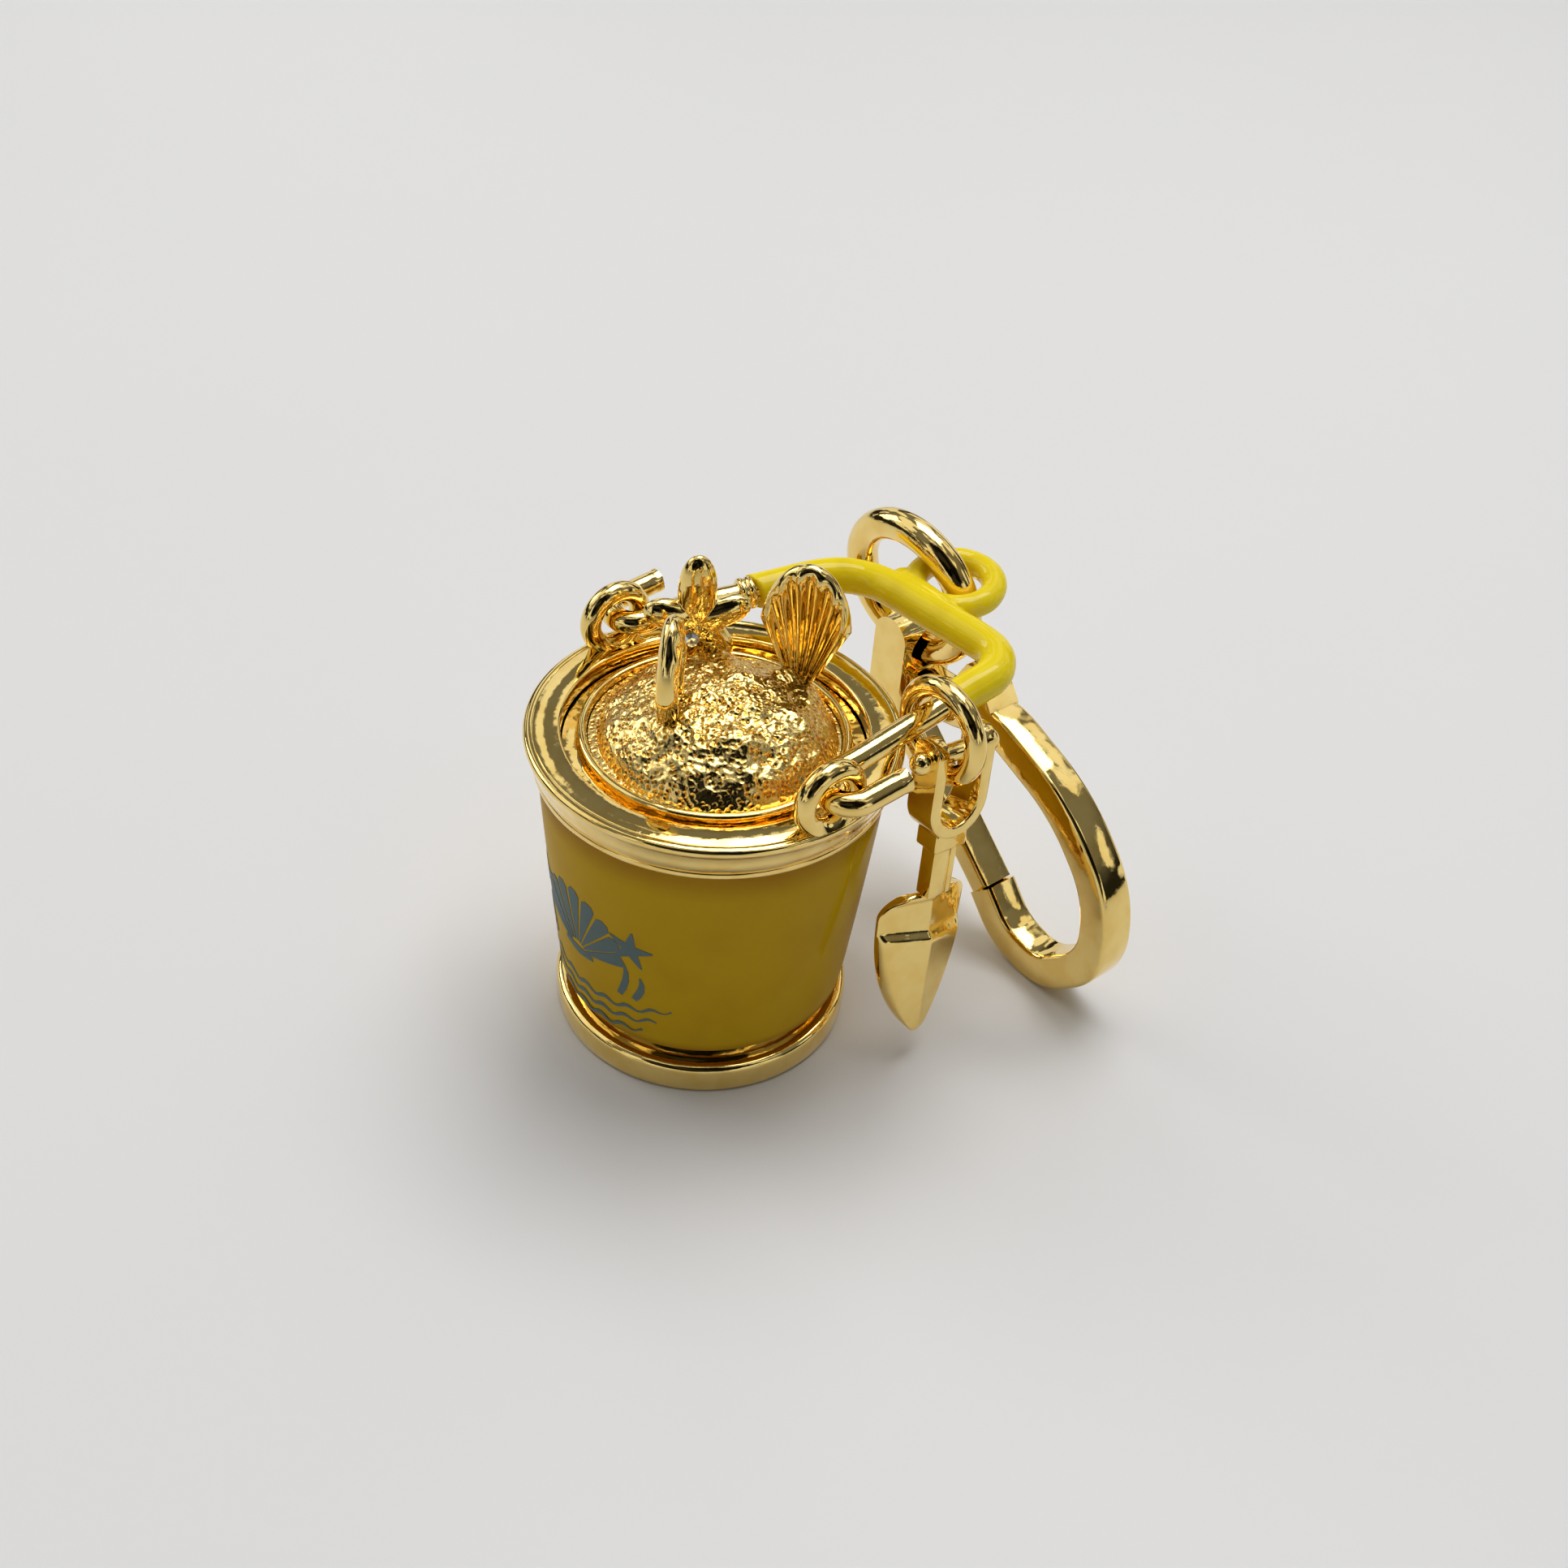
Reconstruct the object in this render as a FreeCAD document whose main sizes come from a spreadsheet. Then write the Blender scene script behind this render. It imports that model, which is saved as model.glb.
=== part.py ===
import FreeCAD, Part
import math
import os
import Sketcher
from FreeCAD import Placement, Rotation, Vector

# Beach-pail charm: an enamelled toy pail with a swinging bail, a spade on a small ring
# and a spring-gate clip on a heavy ring.
# Frame: +Z up, origin at the centre of the pail's base. The bail's pivot axis runs
# along X through the two lugs, and the bail is folded back towards +Y.

DIMENSIONS = [
    # pail
    ("rim_radius", 10.0, "outside of the rim at its top"),
    ("pail_height", 19.1, "base to the top face of the rim"),
    ("rim_depth", 2.25, "height of the rim band"),
    ("rim_lower_radius", 9.52, "outside of the rim at its lower edge"),
    ("rim_round", 0.45, "rounding of the rim's outer top edge"),
    ("rim_lip", 0.8, "thickness of the lip over the cup's wall"),
    ("mouth_radius", 8.05, "inside of the rim"),
    ("foot_radius", 8.31, "outside of the foot ring"),
    ("foot_height", 1.8, "height of the foot ring"),
    ("foot_round", 0.3, "rounding of the foot ring"),
    ("groove_height", 1.1, "bare metal between the foot ring and the enamel"),
    ("wall_top_radius", 9.35, "outside of the enamel under the rim"),
    ("wall_low_radius", 8.1, "outside of the enamel above the groove"),
    ("enamel_thickness", 0.7, "enamel on the wall"),
    ("cup_thickness", 0.55, "metal of the cup's wall"),
    ("floor_thickness", 0.8, "metal of the cup's floor"),
    # contents
    ("insert_clearance", 0.02, "sand insert to the rim's mouth"),
    ("insert_thickness", 0.8, "flange of the sand insert"),
    ("insert_drop", 1.0, "rim's top face down to the flange"),
    ("bead_radius", 7.2, "outside of the insert's raised bead"),
    ("bead_width", 0.5, "width of the bead"),
    ("bead_rise", 0.85, "bead over the flange"),
    ("sand_rise", 0.4, "sand floor over the flange"),
    ("mound_radius", 5.9, "radius of the sand heap at its foot"),
    ("mound_height", 2.7, "height of the heap over the sand floor"),
    ("mound_shift", 0.55, "heap's centre towards +X"),
    ("scallop_height", 8.0, "scallop shell from hinge to lip"),
    ("scallop_width", 5.2, "scallop shell across"),
    ("scallop_thickness", 1.1, "scallop shell through"),
    ("star_arm", 3.3, "starfish, centre to the tip of an arm"),
    ("star_tall_arm", 4.1, "starfish, centre to the tip of its top arm"),
    ("star_waist", 1.1, "starfish, centre to the notch between arms"),
    ("star_thickness", 1.0, "starfish through"),
    ("crystal_radius", 0.45, "cut stone"),
    ("crystal_height", 0.5, "cut stone"),
    # lugs and bail
    ("lug_rise", 1.5, "bail's pivot axis over the rim's top face"),
    ("lug_inset", 0.8, "lug's mid plane in from the rim's outer edge"),
    ("lug_play", 0.375, "bail's wire to the lug's bore"),
    ("lug_wire_radius", 0.575, "lug's wire"),
    ("bail_wire_radius", 0.65, "gold wire of the bail"),
    ("bail_tilt", 5.0, "bail's plane over the horizontal, at rest, degrees"),
    ("hook_play", 0.075, "hook's inner side to the lug's wire"),
    ("tail_length", 2.5, "hook's free end beyond the bend"),
    ("bail_depth", 13.85, "pivot axis to the arch's centreline"),
    ("near_draw", 0.55, "how far the near arm draws in from its hook to the arch"),
    ("far_draw", 2.0, "how far the far arm draws in from its hook to the arch"),
    ("enamel_coat", 0.35, "enamel over the bail's wire"),
    ("enamel_start_near", 9.75, "pivot axis to the start of the enamel, near arm"),
    ("enamel_start_far", 7.3, "pivot axis to the start of the enamel, far arm"),
    ("collar_wall", 0.27, "collar over the bail's wire, at the start of the enamel"),
    ("collar_length", 0.9, "collar"),
    ("eye_offset", 2.65, "arch's centreline to the eye's centre"),
    ("eye_ring_radius", 2.2, "eye's wire centreline"),
    ("eye_wire_radius", 0.72, "eye's wire"),
    # clip ring
    ("clip_ring_radius", 4.1, "clip ring's wire centreline"),
    ("clip_wire_radius", 0.92, "clip ring's wire"),
    # clip
    ("band_width", 2.2, "clip's band, front to back"),
    ("band_thickness", 2.1, "clip's band, inside to outside"),
    ("band_edge", 0.35, "bevel along the band's edges"),
    ("clip_set_back", 0.71, "clip's middle plane behind its ring's centre"),
    ("clip_hang", 19.95, "clip's lowest level to its ring's centre"),
    ("head_width", 2.6, "clip's head, left to right"),
    ("head_depth", 3.8, "clip's head, front to back"),
    ("head_top", 18.05, "top of the head over the clip's lowest level"),
    ("head_bottom", 9.7, "bottom of the head over the clip's lowest level"),
    ("head_centre", -3.4, "head's middle along X"),
    ("eyelet_height", 16.05, "centre of the head's eyelet"),
    ("eyelet_radius", 1.27, "bore of the head's eyelet"),
    ("gate_pivot_height", 11.2, "gate's pin over the clip's lowest level"),
    ("gate_pin_radius", 0.45, "gate's pin"),
    ("gate_running_fit", 0.04, "radial play of the gate on its pin"),
    ("gate_thickness", 1.5, "gate's bar, inside to outside"),
    ("gate_side_play", 0.06, "gate to each cheek of the head"),
    ("gate_end_gap", 0.3, "gate's tip to the nose of the clip"),
    ("knuckle_wall", 0.27, "gate's knuckle outside the spring's room"),
    ("spring_wire_radius", 0.12, "gate's torsion spring"),
    ("spring_play", 0.07, "gate's torsion spring to its pin"),
    ("spring_width", 0.9, "gate's torsion spring along the pin"),
    # spade
    ("spade_ring_radius", 2.45, "spade ring's wire centreline"),
    ("spade_wire_radius", 0.58, "spade ring's wire"),
    ("spade_ring_play", 0.126, "spade ring's inner side to the bail's wire"),
    ("spade_ring_lean", 21.4, "spade ring's centre below the near arm, degrees"),
    ("rim_to_spade_ring", 0.557, "rim to the spade ring's inner side"),
    ("grip_gap", 2.6, "between the grip's cheeks"),
    ("grip_cheek", 0.7, "thickness of a cheek"),
    ("grip_width", 2.0, "grip's cheeks, front to back"),
    ("grip_drop", 2.8, "grip's pin down to the centre of its bow"),
    ("grip_pin_radius", 0.5, "grip's cross pin"),
    ("grip_ball_radius", 0.62, "balls on the cross pin's ends"),
    ("grip_overrun", 1.25, "cheeks above the cross pin"),
    ("socket_length", 0.9, "socket under the bow"),
    ("shaft_width", 1.6, "spade's shaft across"),
    ("shaft_depth", 1.0, "spade's shaft, front to back"),
    ("shaft_length", 3.1, "spade's shaft between socket and blade"),
    ("blade_length", 9.6, "spade's blade"),
    ("blade_width", 6.2, "spade's blade across its shoulders"),
    ("blade_thickness", 1.0, "spade's blade"),
    ("blade_crease", 0.8, "depth of the blade's fold"),
]

doc = FreeCAD.newDocument("BeachPailCharm")
sheet = doc.addObject("Spreadsheet::Sheet", "Dimensions")
for row, (alias, value, note) in enumerate(DIMENSIONS, start=1):
    sheet.set(f"A{row}", note)
    sheet.set(f"B{row}", str(value))
    sheet.setAlias(f"B{row}", alias)
doc.recompute()

parts = []


def size(alias):
    """The value of one driving dimension."""
    return float(getattr(sheet, alias))


def bind(feature, **expressions):
    """Bind properties of a feature to the sheet; names are written with its aliases."""
    for name, expression in expressions.items():
        feature.setExpression(name, linked(expression))


def linked(expression):
    """An expression in which every alias is read from the sheet."""
    words = {alias for alias, _, _ in DIMENSIONS}
    found, word = [], ""
    for letter in expression + " ":
        if letter.isalnum() or letter == "_":
            word += letter
            continue
        found.append(f"Dimensions.{word}" if word in words else word)
        found.append(letter)
        word = ""
    return "".join(found).strip()


def finish(feature, label):
    """Give a sub-part its name and keep it for the checks and the export."""
    feature.Label = label
    parts.append(feature)
    return feature


def origin_feature(body, role):
    """One of a body's own origin planes or axes."""
    return next(f for f in body.Origin.OriginFeatures if f.Role == role)


def turned_body(label, corners):
    """A body turned about Z from a closed outline of (radius, height) expressions."""
    body = doc.addObject("PartDesign::Body", label)
    sketch = body.newObject("Sketcher::SketchObject", label + "_outline")
    sketch.AttachmentSupport = [(origin_feature(body, "XZ_Plane"), "")]
    sketch.MapMode = "FlatFace"
    count = len(corners)
    guess = [Vector(number(r), number(z), 0) for r, z in corners]
    for i in range(count):
        sketch.addGeometry(Part.LineSegment(guess[i], guess[(i + 1) % count]), False)
    for i in range(count):
        sketch.addConstraint(Sketcher.Constraint("Coincident", i, 2, (i + 1) % count, 1))
    for i, (r, z) in enumerate(corners):
        for kind, axis, text in (("DistanceX", -2, r), ("DistanceY", -1, z)):
            if text == "0":
                sketch.addConstraint(Sketcher.Constraint("PointOnObject", i, 1, axis))
                continue
            place = sketch.addConstraint(Sketcher.Constraint(kind, -1, 1, i, 1, number(text)))
            sketch.setExpression(f"Constraints[{place}]", linked(text))
    turn = body.newObject("PartDesign::Revolution", label + "_turn")
    turn.Profile = sketch
    turn.ReferenceAxis = (sketch, ["V_Axis"])
    turn.Angle = 360
    doc.recompute()
    return finish(body, label)


def number(expression):
    """The value of an expression written with the sheet's aliases."""
    probe.setExpression("Length", linked(expression))
    probe.recompute()
    return probe.Length.Value


def round_edges(body, radius, chosen):
    """Round the circular edges of a turned body that lie at the chosen (radius, height)."""
    base = body.Tip
    names = []
    for i, edge in enumerate(base.Shape.Edges, start=1):
        if not isinstance(edge.Curve, Part.Circle):
            continue
        for r, z in chosen:
            here = (edge.Curve.Radius - number(r), edge.Curve.Center.z - number(z))
            if max(abs(d) for d in here) < 1e-6:
                names.append(f"Edge{i}")
    fillet = body.newObject("PartDesign::Fillet", body.Label + "_round")
    fillet.Base = (base, names)
    bind(fillet, Radius=radius)
    body.Tip = fillet
    doc.recompute()


def shape_part(label, shape, placement=None):
    """A sub-part whose shape is worked out with Part's own functions."""
    feature = doc.addObject("Part::Feature", label)
    feature.Shape = shape
    if placement is not None:
        feature.Placement = placement
    return finish(feature, label)


def ring_part(label, ring_radius, wire_radius, placement):
    """A closed round ring, a torus whose axis is the placement's Z."""
    ring = doc.addObject("Part::Torus", label)
    bind(ring, Radius1=ring_radius, Radius2=wire_radius)
    ring.Placement = placement
    return finish(ring, label)


def rounded_path(points, share=0.45):
    """Straight runs joined by tangent arcs, each as large as its two runs allow."""
    edges, start = [], points[0]
    for before, corner, after in zip(points, points[1:], points[2:]):
        back, ahead = before - corner, after - corner
        cut = share * min(back.Length, ahead.Length)
        back.normalize()
        ahead.normalize()
        enter, leave = corner + back * cut, corner + ahead * cut
        middle = back + ahead
        middle.normalize()
        half = math.acos(max(-1.0, min(1.0, back.dot(ahead)))) / 2
        radius = cut * math.tan(half)
        through = corner + middle * (radius / math.sin(half) - radius)
        edges.append(Part.LineSegment(start, enter).toShape())
        edges.append(Part.Arc(enter, through, leave).toShape())
        start = leave
    edges.append(Part.LineSegment(start, points[-1]).toShape())
    return Part.Wire(edges)


def swept(path, section):
    """A solid swept along a path from one closed section."""
    return path.makePipeShell([section], True, True)


def round_section(centre, direction, radius):
    """A round section square to a direction."""
    return Part.Wire(Part.makeCircle(radius, centre, direction))


def extruded(points, direction):
    """A solid prism on a closed polygon."""
    return Part.Face(Part.makePolygon(points + points[:1])).extrude(direction)


probe = doc.addObject("Part::Box", "Probe")

# ---- pail ------------------------------------------------------------------

WALL_LOW = "foot_height + groove_height"
WALL_TOP = "pail_height - rim_depth"
CUP_LOW = "wall_low_radius - enamel_thickness"
CUP_TOP = "wall_top_radius - enamel_thickness"
CUP_RIM = "pail_height - rim_lip"

turned_body(
    "pail_cup",
    [
        ("0", "0"),
        (CUP_LOW, "0"),
        (CUP_LOW, WALL_LOW),
        (CUP_TOP, WALL_TOP),
        (CUP_TOP, CUP_RIM),
        (CUP_TOP + " - cup_thickness", CUP_RIM),
        (CUP_TOP + " - cup_thickness", WALL_TOP),
        (CUP_LOW + " - cup_thickness", WALL_LOW),
        (CUP_LOW + " - cup_thickness", "floor_thickness"),
        ("0", "floor_thickness"),
    ],
)
foot = turned_body(
    "foot_ring",
    [(CUP_LOW, "0"), ("foot_radius", "0"), ("foot_radius", "foot_height"), (CUP_LOW, "foot_height")],
)
round_edges(foot, "foot_round", [("foot_radius", "0"), ("foot_radius", "foot_height")])
turned_body(
    "enamel_wall",
    [
        (CUP_LOW, WALL_LOW),
        ("wall_low_radius", WALL_LOW),
        ("wall_top_radius", WALL_TOP),
        (CUP_TOP, WALL_TOP),
    ],
)
rim = turned_body(
    "rim_band",
    [
        (CUP_TOP, WALL_TOP),
        ("rim_lower_radius", WALL_TOP),
        ("rim_radius", "pail_height"),
        ("mouth_radius", "pail_height"),
        ("mouth_radius", CUP_RIM),
        (CUP_TOP, CUP_RIM),
    ],
)
round_edges(rim, "rim_round", [("rim_radius", "pail_height")])

# ---- contents --------------------------------------------------------------

FLANGE = "pail_height - insert_drop"
turned_body(
    "sand_insert",
    [
        ("0", FLANGE + " - insert_thickness"),
        ("mouth_radius - insert_clearance", FLANGE + " - insert_thickness"),
        ("mouth_radius - insert_clearance", FLANGE),
        ("bead_radius", FLANGE),
        ("bead_radius", FLANGE + " + bead_rise"),
        ("bead_radius - bead_width", FLANGE + " + bead_rise"),
        ("bead_radius - bead_width", FLANGE + " + sand_rise"),
        ("0", FLANGE + " + sand_rise"),
    ],
)
sand_level = number(FLANGE + " + sand_rise")


def dome(radius, height, x, y):
    """A cap of a ball that stands on the sand floor."""
    ball = (radius**2 + height**2) / (2 * height)
    whole = Part.makeSphere(ball, Vector(x, y, sand_level + height - ball))
    above = Part.makeCylinder(ball + 1, 2 * ball, Vector(x, y, sand_level))
    return whole.common(above)


def scallop(placement):
    """A fan-shaped plate that stands on its hinge, local XZ plane, bulging along Y."""
    tall, wide, thick = size("scallop_height"), size("scallop_width"), size("scallop_thickness")
    hinge = wide / 6
    left = Part.LineSegment(Vector(-hinge, 0, 0), Vector(-wide / 2, 0, 0.55 * tall)).toShape()
    top = Part.Arc(
        Vector(-wide / 2, 0, 0.55 * tall), Vector(0, 0, tall), Vector(wide / 2, 0, 0.55 * tall)
    ).toShape()
    right = Part.LineSegment(Vector(wide / 2, 0, 0.55 * tall), Vector(hinge, 0, 0)).toShape()
    base = Part.LineSegment(Vector(hinge, 0, 0), Vector(-hinge, 0, 0)).toShape()
    plate = Part.Face(Part.Wire([left, top, right, base])).extrude(Vector(0, thick, 0))
    plate.translate(Vector(0, -thick / 2, 0))
    plate.Placement = placement.multiply(plate.Placement)
    return plate


SHELL_BASE = sand_level + 0.2
right_scallop = scallop(
    Placement(Vector(-0.1, 5.7, SHELL_BASE), Rotation(Vector(0, 0, 1), 38) * Rotation(Vector(1, 0, 0), -3))
)
left_scallop = scallop(
    Placement(Vector(-0.6, -2.6, SHELL_BASE), Rotation(Vector(0, 0, 1), 138) * Rotation(Vector(0, 1, 0), -4))
)

STAR_CENTRE = Vector(-5.0, 2.3, sand_level + 3.5)
STAR_FACE = Rotation(Vector(0, 0, 1), 63)
outline = []
for k in range(10):
    angle = math.radians(90 + 36 * k)
    reach = size("star_waist") if k % 2 else size("star_arm")
    if k == 0:
        reach = size("star_tall_arm")
    outline.append(Vector(reach * math.cos(angle), -size("star_thickness") / 2, reach * math.sin(angle)))
star = extruded(outline, Vector(0, size("star_thickness"), 0))
star.Placement = Placement(STAR_CENTRE, STAR_FACE)

heap = dome(size("mound_radius"), size("mound_height"), size("mound_shift"), 0)
LUMPS = (
    (2.0, 2.2, 3.2, 2.4),
    (1.9, 2.4, 3.3, -0.9),
    (2.2, 2.9, 0.9, -2.6),
    (2.1, 1.7, 0.0, 5.2),
    (1.8, 1.9, -4.6, 2.6),
)
for radius, height, x, y in LUMPS:
    heap = heap.fuse(dome(radius, height, x, y))
inside = Part.makeCylinder(
    size("bead_radius") - size("bead_width") - 0.05, 9, Vector(0, 0, sand_level)
)
heap = heap.common(inside).cut(right_scallop).cut(left_scallop).cut(star).removeSplitter()
heap = max(heap.Solids, key=lambda solid: solid.Volume)
floor_cut = Part.makeBox(30, 30, sand_level, Vector(-15, -15, 0))

shape_part("sand_mound", heap)
shape_part("scallop_right", right_scallop.cut(floor_cut))
shape_part("scallop_left", left_scallop.cut(floor_cut))
shape_part("starfish", star.cut(floor_cut))
stone = Part.makeCylinder(size("crystal_radius"), size("crystal_height"), Vector(0, 0, 0), Vector(0, -1, 0))
shape_part(
    "crystal",
    stone,
    Placement(
        STAR_CENTRE + STAR_FACE.multVec(Vector(-0.35, -size("star_thickness") / 2, -0.75)), STAR_FACE
    ),
)

# ---- lugs ------------------------------------------------------------------

PIVOT_HEIGHT = "pail_height + lug_rise"
LUG_REACH = "rim_radius - lug_inset"
LUG_RING = "lug_wire_radius + bail_wire_radius + lug_play"

for name, side in (("lug_near", 1), ("lug_far", -1)):
    loop = doc.addObject("Part::Torus", name + "_loop")
    bind(loop, Radius1=LUG_RING, Radius2="lug_wire_radius")
    loop.Placement = Placement(Vector(), Rotation(Vector(0, 1, 0), 90))
    bind(loop, **{"Placement.Base.x": f"{side} * ({LUG_REACH})", "Placement.Base.z": PIVOT_HEIGHT})
    sunk = doc.addObject("Part::Box", name + "_sunk")
    bind(sunk, Length="4 * lug_wire_radius", Width=f"4 * ({LUG_RING})", Height="pail_height")
    bind(
        sunk,
        **{
            "Placement.Base.x": f"{side} * ({LUG_REACH}) - 2 * lug_wire_radius",
            "Placement.Base.y": f"-2 * ({LUG_RING})",
        },
    )
    lug = doc.addObject("Part::Cut", name)
    lug.Base = loop
    lug.Tool = sunk
    finish(lug, name)
doc.recompute()

# ---- bail ------------------------------------------------------------------

PIVOT = Vector(0, 0, number(PIVOT_HEIGHT))
BAIL = Placement(PIVOT, Rotation(Vector(1, 0, 0), size("bail_tilt")))
wire = size("bail_wire_radius")
hook = wire + size("lug_wire_radius") + size("hook_play")
bar = number(LUG_REACH) - hook
near, far, depth = bar - size("near_draw"), size("far_draw") - bar, size("bail_depth")
coat_radius = wire + size("enamel_coat")
near_start = Vector(near + 0.06, size("enamel_start_near"), 0)
far_start = Vector(far - 0.45, size("enamel_start_far"), 0)


def hook_wire(side):
    """Free end, bend through the lug and the start of the arm, as edges."""
    outer = Vector(side * (bar + 2 * hook), hook, 0)
    inner = Vector(side * bar, hook, 0)
    end = outer + Vector(0, size("tail_length"), 0)
    middle = Vector(side * (bar + hook), 0, 0)
    return Part.Wire([Part.LineSegment(end, outer).toShape(), Part.Arc(outer, middle, inner).toShape()])


arch_points = [
    Vector(-bar, hook, 0),
    Vector(-bar, 2 * hook, 0),
    far_start,
    Vector(far + 1.3, depth - 0.75, 0),
    Vector(1.5, depth, 0),
    Vector(near - 0.1, depth + 0.45, 0),
    near_start,
    Vector(bar, 2 * hook, 0),
    Vector(bar, hook, 0),
]
arch_path = rounded_path(arch_points)
arch = swept(arch_path, round_section(arch_points[0], Vector(0, 1, 0), wire))
hooks = []
for side in (-1, 1):
    path = hook_wire(side)
    tip = path.Vertexes[0].Point
    hooks.append(swept(path, round_section(tip, Vector(0, -1, 0), wire)))
bail_shape = arch.fuse(hooks).removeSplitter()

coat = swept(arch_path, round_section(arch_points[0], Vector(0, 1, 0), coat_radius))
for side, start in ((1, near_start), (-1, far_start)):
    bare = Part.makeBox(20, 20, 10, Vector(10 * side - 10, start.y - 20, -5))
    coat = coat.cut(bare)
eye_reach = depth + size("eye_offset")
eye_centre = Vector(0, eye_reach, 0)
eye = Part.makeTorus(size("eye_ring_radius"), size("eye_wire_radius"), eye_centre)
saddle_top = eye_reach - size("eye_ring_radius")
saddle = Part.makeCylinder(
    coat_radius * 0.93, 3.4, Vector(-1.7, saddle_top - 0.15, 0), Vector(1, 0, 0)
)
bore = Part.makeCylinder(size("eye_ring_radius") - size("eye_wire_radius"), 6, eye_centre - Vector(0, 0, 3))
coat = coat.fuse([eye, saddle.cut(bore)]).cut(bail_shape).removeSplitter()
coat = max(coat.Solids, key=lambda solid: solid.Volume)

shape_part("bail_wire", bail_shape, BAIL)
shape_part("bail_enamel", coat, BAIL)


def collar(label, start, towards):
    """A short sleeve round an arm, just before its enamel starts."""
    along = towards - start
    along.normalize()
    ring = Part.makeCylinder(wire + size("collar_wall"), size("collar_length"), start, along)
    ring = ring.makeFillet(0.2, [e for e in ring.Edges if isinstance(e.Curve, Part.Circle)])
    shape_part(label, ring.cut(bail_shape).cut(coat), BAIL)


gap = Vector(0, 0.02, 0)
collar("collar_near", near_start - gap, arch_points[-2])
collar("collar_far", far_start - gap, arch_points[1])

# ---- clip ring -------------------------------------------------------------

RING_AXIS = Vector(0.08, -0.98, -0.18)
RING_CENTRE = BAIL.multVec(eye_centre) + Vector(-3.25, 0.103, -2.088)
ring_part(
    "clip_ring",
    "clip_ring_radius",
    "clip_wire_radius",
    Placement(RING_CENTRE, Rotation(Vector(0, 0, 1), RING_AXIS)),
)

# ---- clip ------------------------------------------------------------------

CLIP = Placement(
    Vector(0, RING_CENTRE.y + size("clip_set_back"), RING_CENTRE.z - size("clip_hang")), Rotation()
)
half_width, half_band = size("band_width") / 2, size("band_thickness") / 2
head_x = size("head_centre")
band_points = [
    Vector(head_x, 0, 13.55),
    Vector(0.6, 0, 13.8),
    Vector(4.2, 0, 15.15),
    Vector(10.4, 0, 12.95),
    Vector(14.25, 0, 9.1),
    Vector(14.9, 0, 4.2),
    Vector(11.3, 0, 0.86),
    Vector(7.9, 0, 1.4),
    Vector(5.9, 0, 3.5),
]


def band_section(centre, along, thickness, width):
    """A bevelled rectangle square to the band's path."""
    edge = size("band_edge")
    out = Vector(0, 1, 0).cross(along)
    out.normalize()
    across = Vector(0, 1, 0)
    flat, tall = width / 2, thickness / 2
    corners = [
        (flat - edge, tall), (flat, tall - edge), (flat, edge - tall), (flat - edge, -tall),
        (edge - flat, -tall), (-flat, edge - tall), (-flat, tall - edge), (edge - flat, tall),
    ]
    points = [centre + across * a + out * b for a, b in corners]
    return Part.makePolygon(points + points[:1])


band_path = rounded_path(band_points)
section = band_section(
    band_points[0], band_points[1] - band_points[0], size("band_thickness"), size("band_width")
)
band = swept(band_path, section)

head_half = size("head_width") / 2
head_top, head_bottom = size("head_top"), size("head_bottom")
deep = size("head_depth")
head = Part.makeBox(
    2 * head_half, deep, head_top - head_bottom - 2 * head_half,
    Vector(head_x - head_half, -deep / 2, head_bottom + head_half),
)
for z in (head_top - head_half, head_bottom + head_half):
    head = head.fuse(Part.makeCylinder(head_half, deep, Vector(head_x, -deep / 2, z), Vector(0, 1, 0)))
head = head.removeSplitter()
boss = extruded(
    [
        Vector(0.9, -half_width, 14.4),
        Vector(1.75, -half_width, 17.7),
        Vector(2.6, -half_width, 18.1),
        Vector(4.45, -half_width, 15.9),
        Vector(4.4, -half_width, 14.6),
    ],
    Vector(0, 2 * half_width, 0),
)
eyelet = Part.makeCylinder(
    size("eyelet_radius"), 6, Vector(head_x - 3, 0, size("eyelet_height")), Vector(1, 0, 0)
)
pivot = Vector(head_x, 0, size("gate_pivot_height"))
pin_length = size("head_depth")
pin = Part.makeCylinder(
    size("gate_pin_radius"), pin_length, pivot - Vector(0, pin_length / 2, 0), Vector(0, 1, 0)
)
slot_half = half_width + size("gate_side_play")
slot_top = band_points[0].z - half_band - 0.05
slot = Part.makeBox(8, 2 * slot_half, 8, Vector(head_x - 4, -slot_half, slot_top - 8))
body = head.cut(slot).fuse([band, boss]).cut(eyelet).cut(pin).removeSplitter()
shape_part("clip_body", body, CLIP)

nose = band_points[-1]
reach = nose - pivot
gate_direction = Vector(reach)
gate_direction.normalize()
gate_end = pivot + gate_direction * (reach.Length - size("gate_end_gap"))
gate_section = band_section(pivot, gate_direction, size("gate_thickness"), size("band_width"))
gate_bar = swept(Part.Wire(Part.LineSegment(pivot, gate_end).toShape()), gate_section)
coil_radius = size("gate_pin_radius") + size("spring_wire_radius") + size("spring_play")
room_radius = coil_radius + 2 * size("spring_wire_radius")
knuckle = Part.makeCylinder(
    room_radius + size("knuckle_wall"), 2 * half_width, pivot - Vector(0, half_width, 0), Vector(0, 1, 0)
)
gate_bore = Part.makeCylinder(
    size("gate_pin_radius") + size("gate_running_fit"), 6, pivot - Vector(0, 3, 0), Vector(0, 1, 0)
)
spring_room = Part.makeCylinder(
    room_radius,
    size("spring_width") + 4 * size("spring_wire_radius"),
    pivot - Vector(0, size("spring_width") / 2 + 2 * size("spring_wire_radius"), 0),
    Vector(0, 1, 0),
)
gate = gate_bar.fuse(knuckle).cut(gate_bore).cut(spring_room).removeSplitter()
shape_part("clip_gate", gate, CLIP)
shape_part("gate_pin", pin, CLIP)

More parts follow.
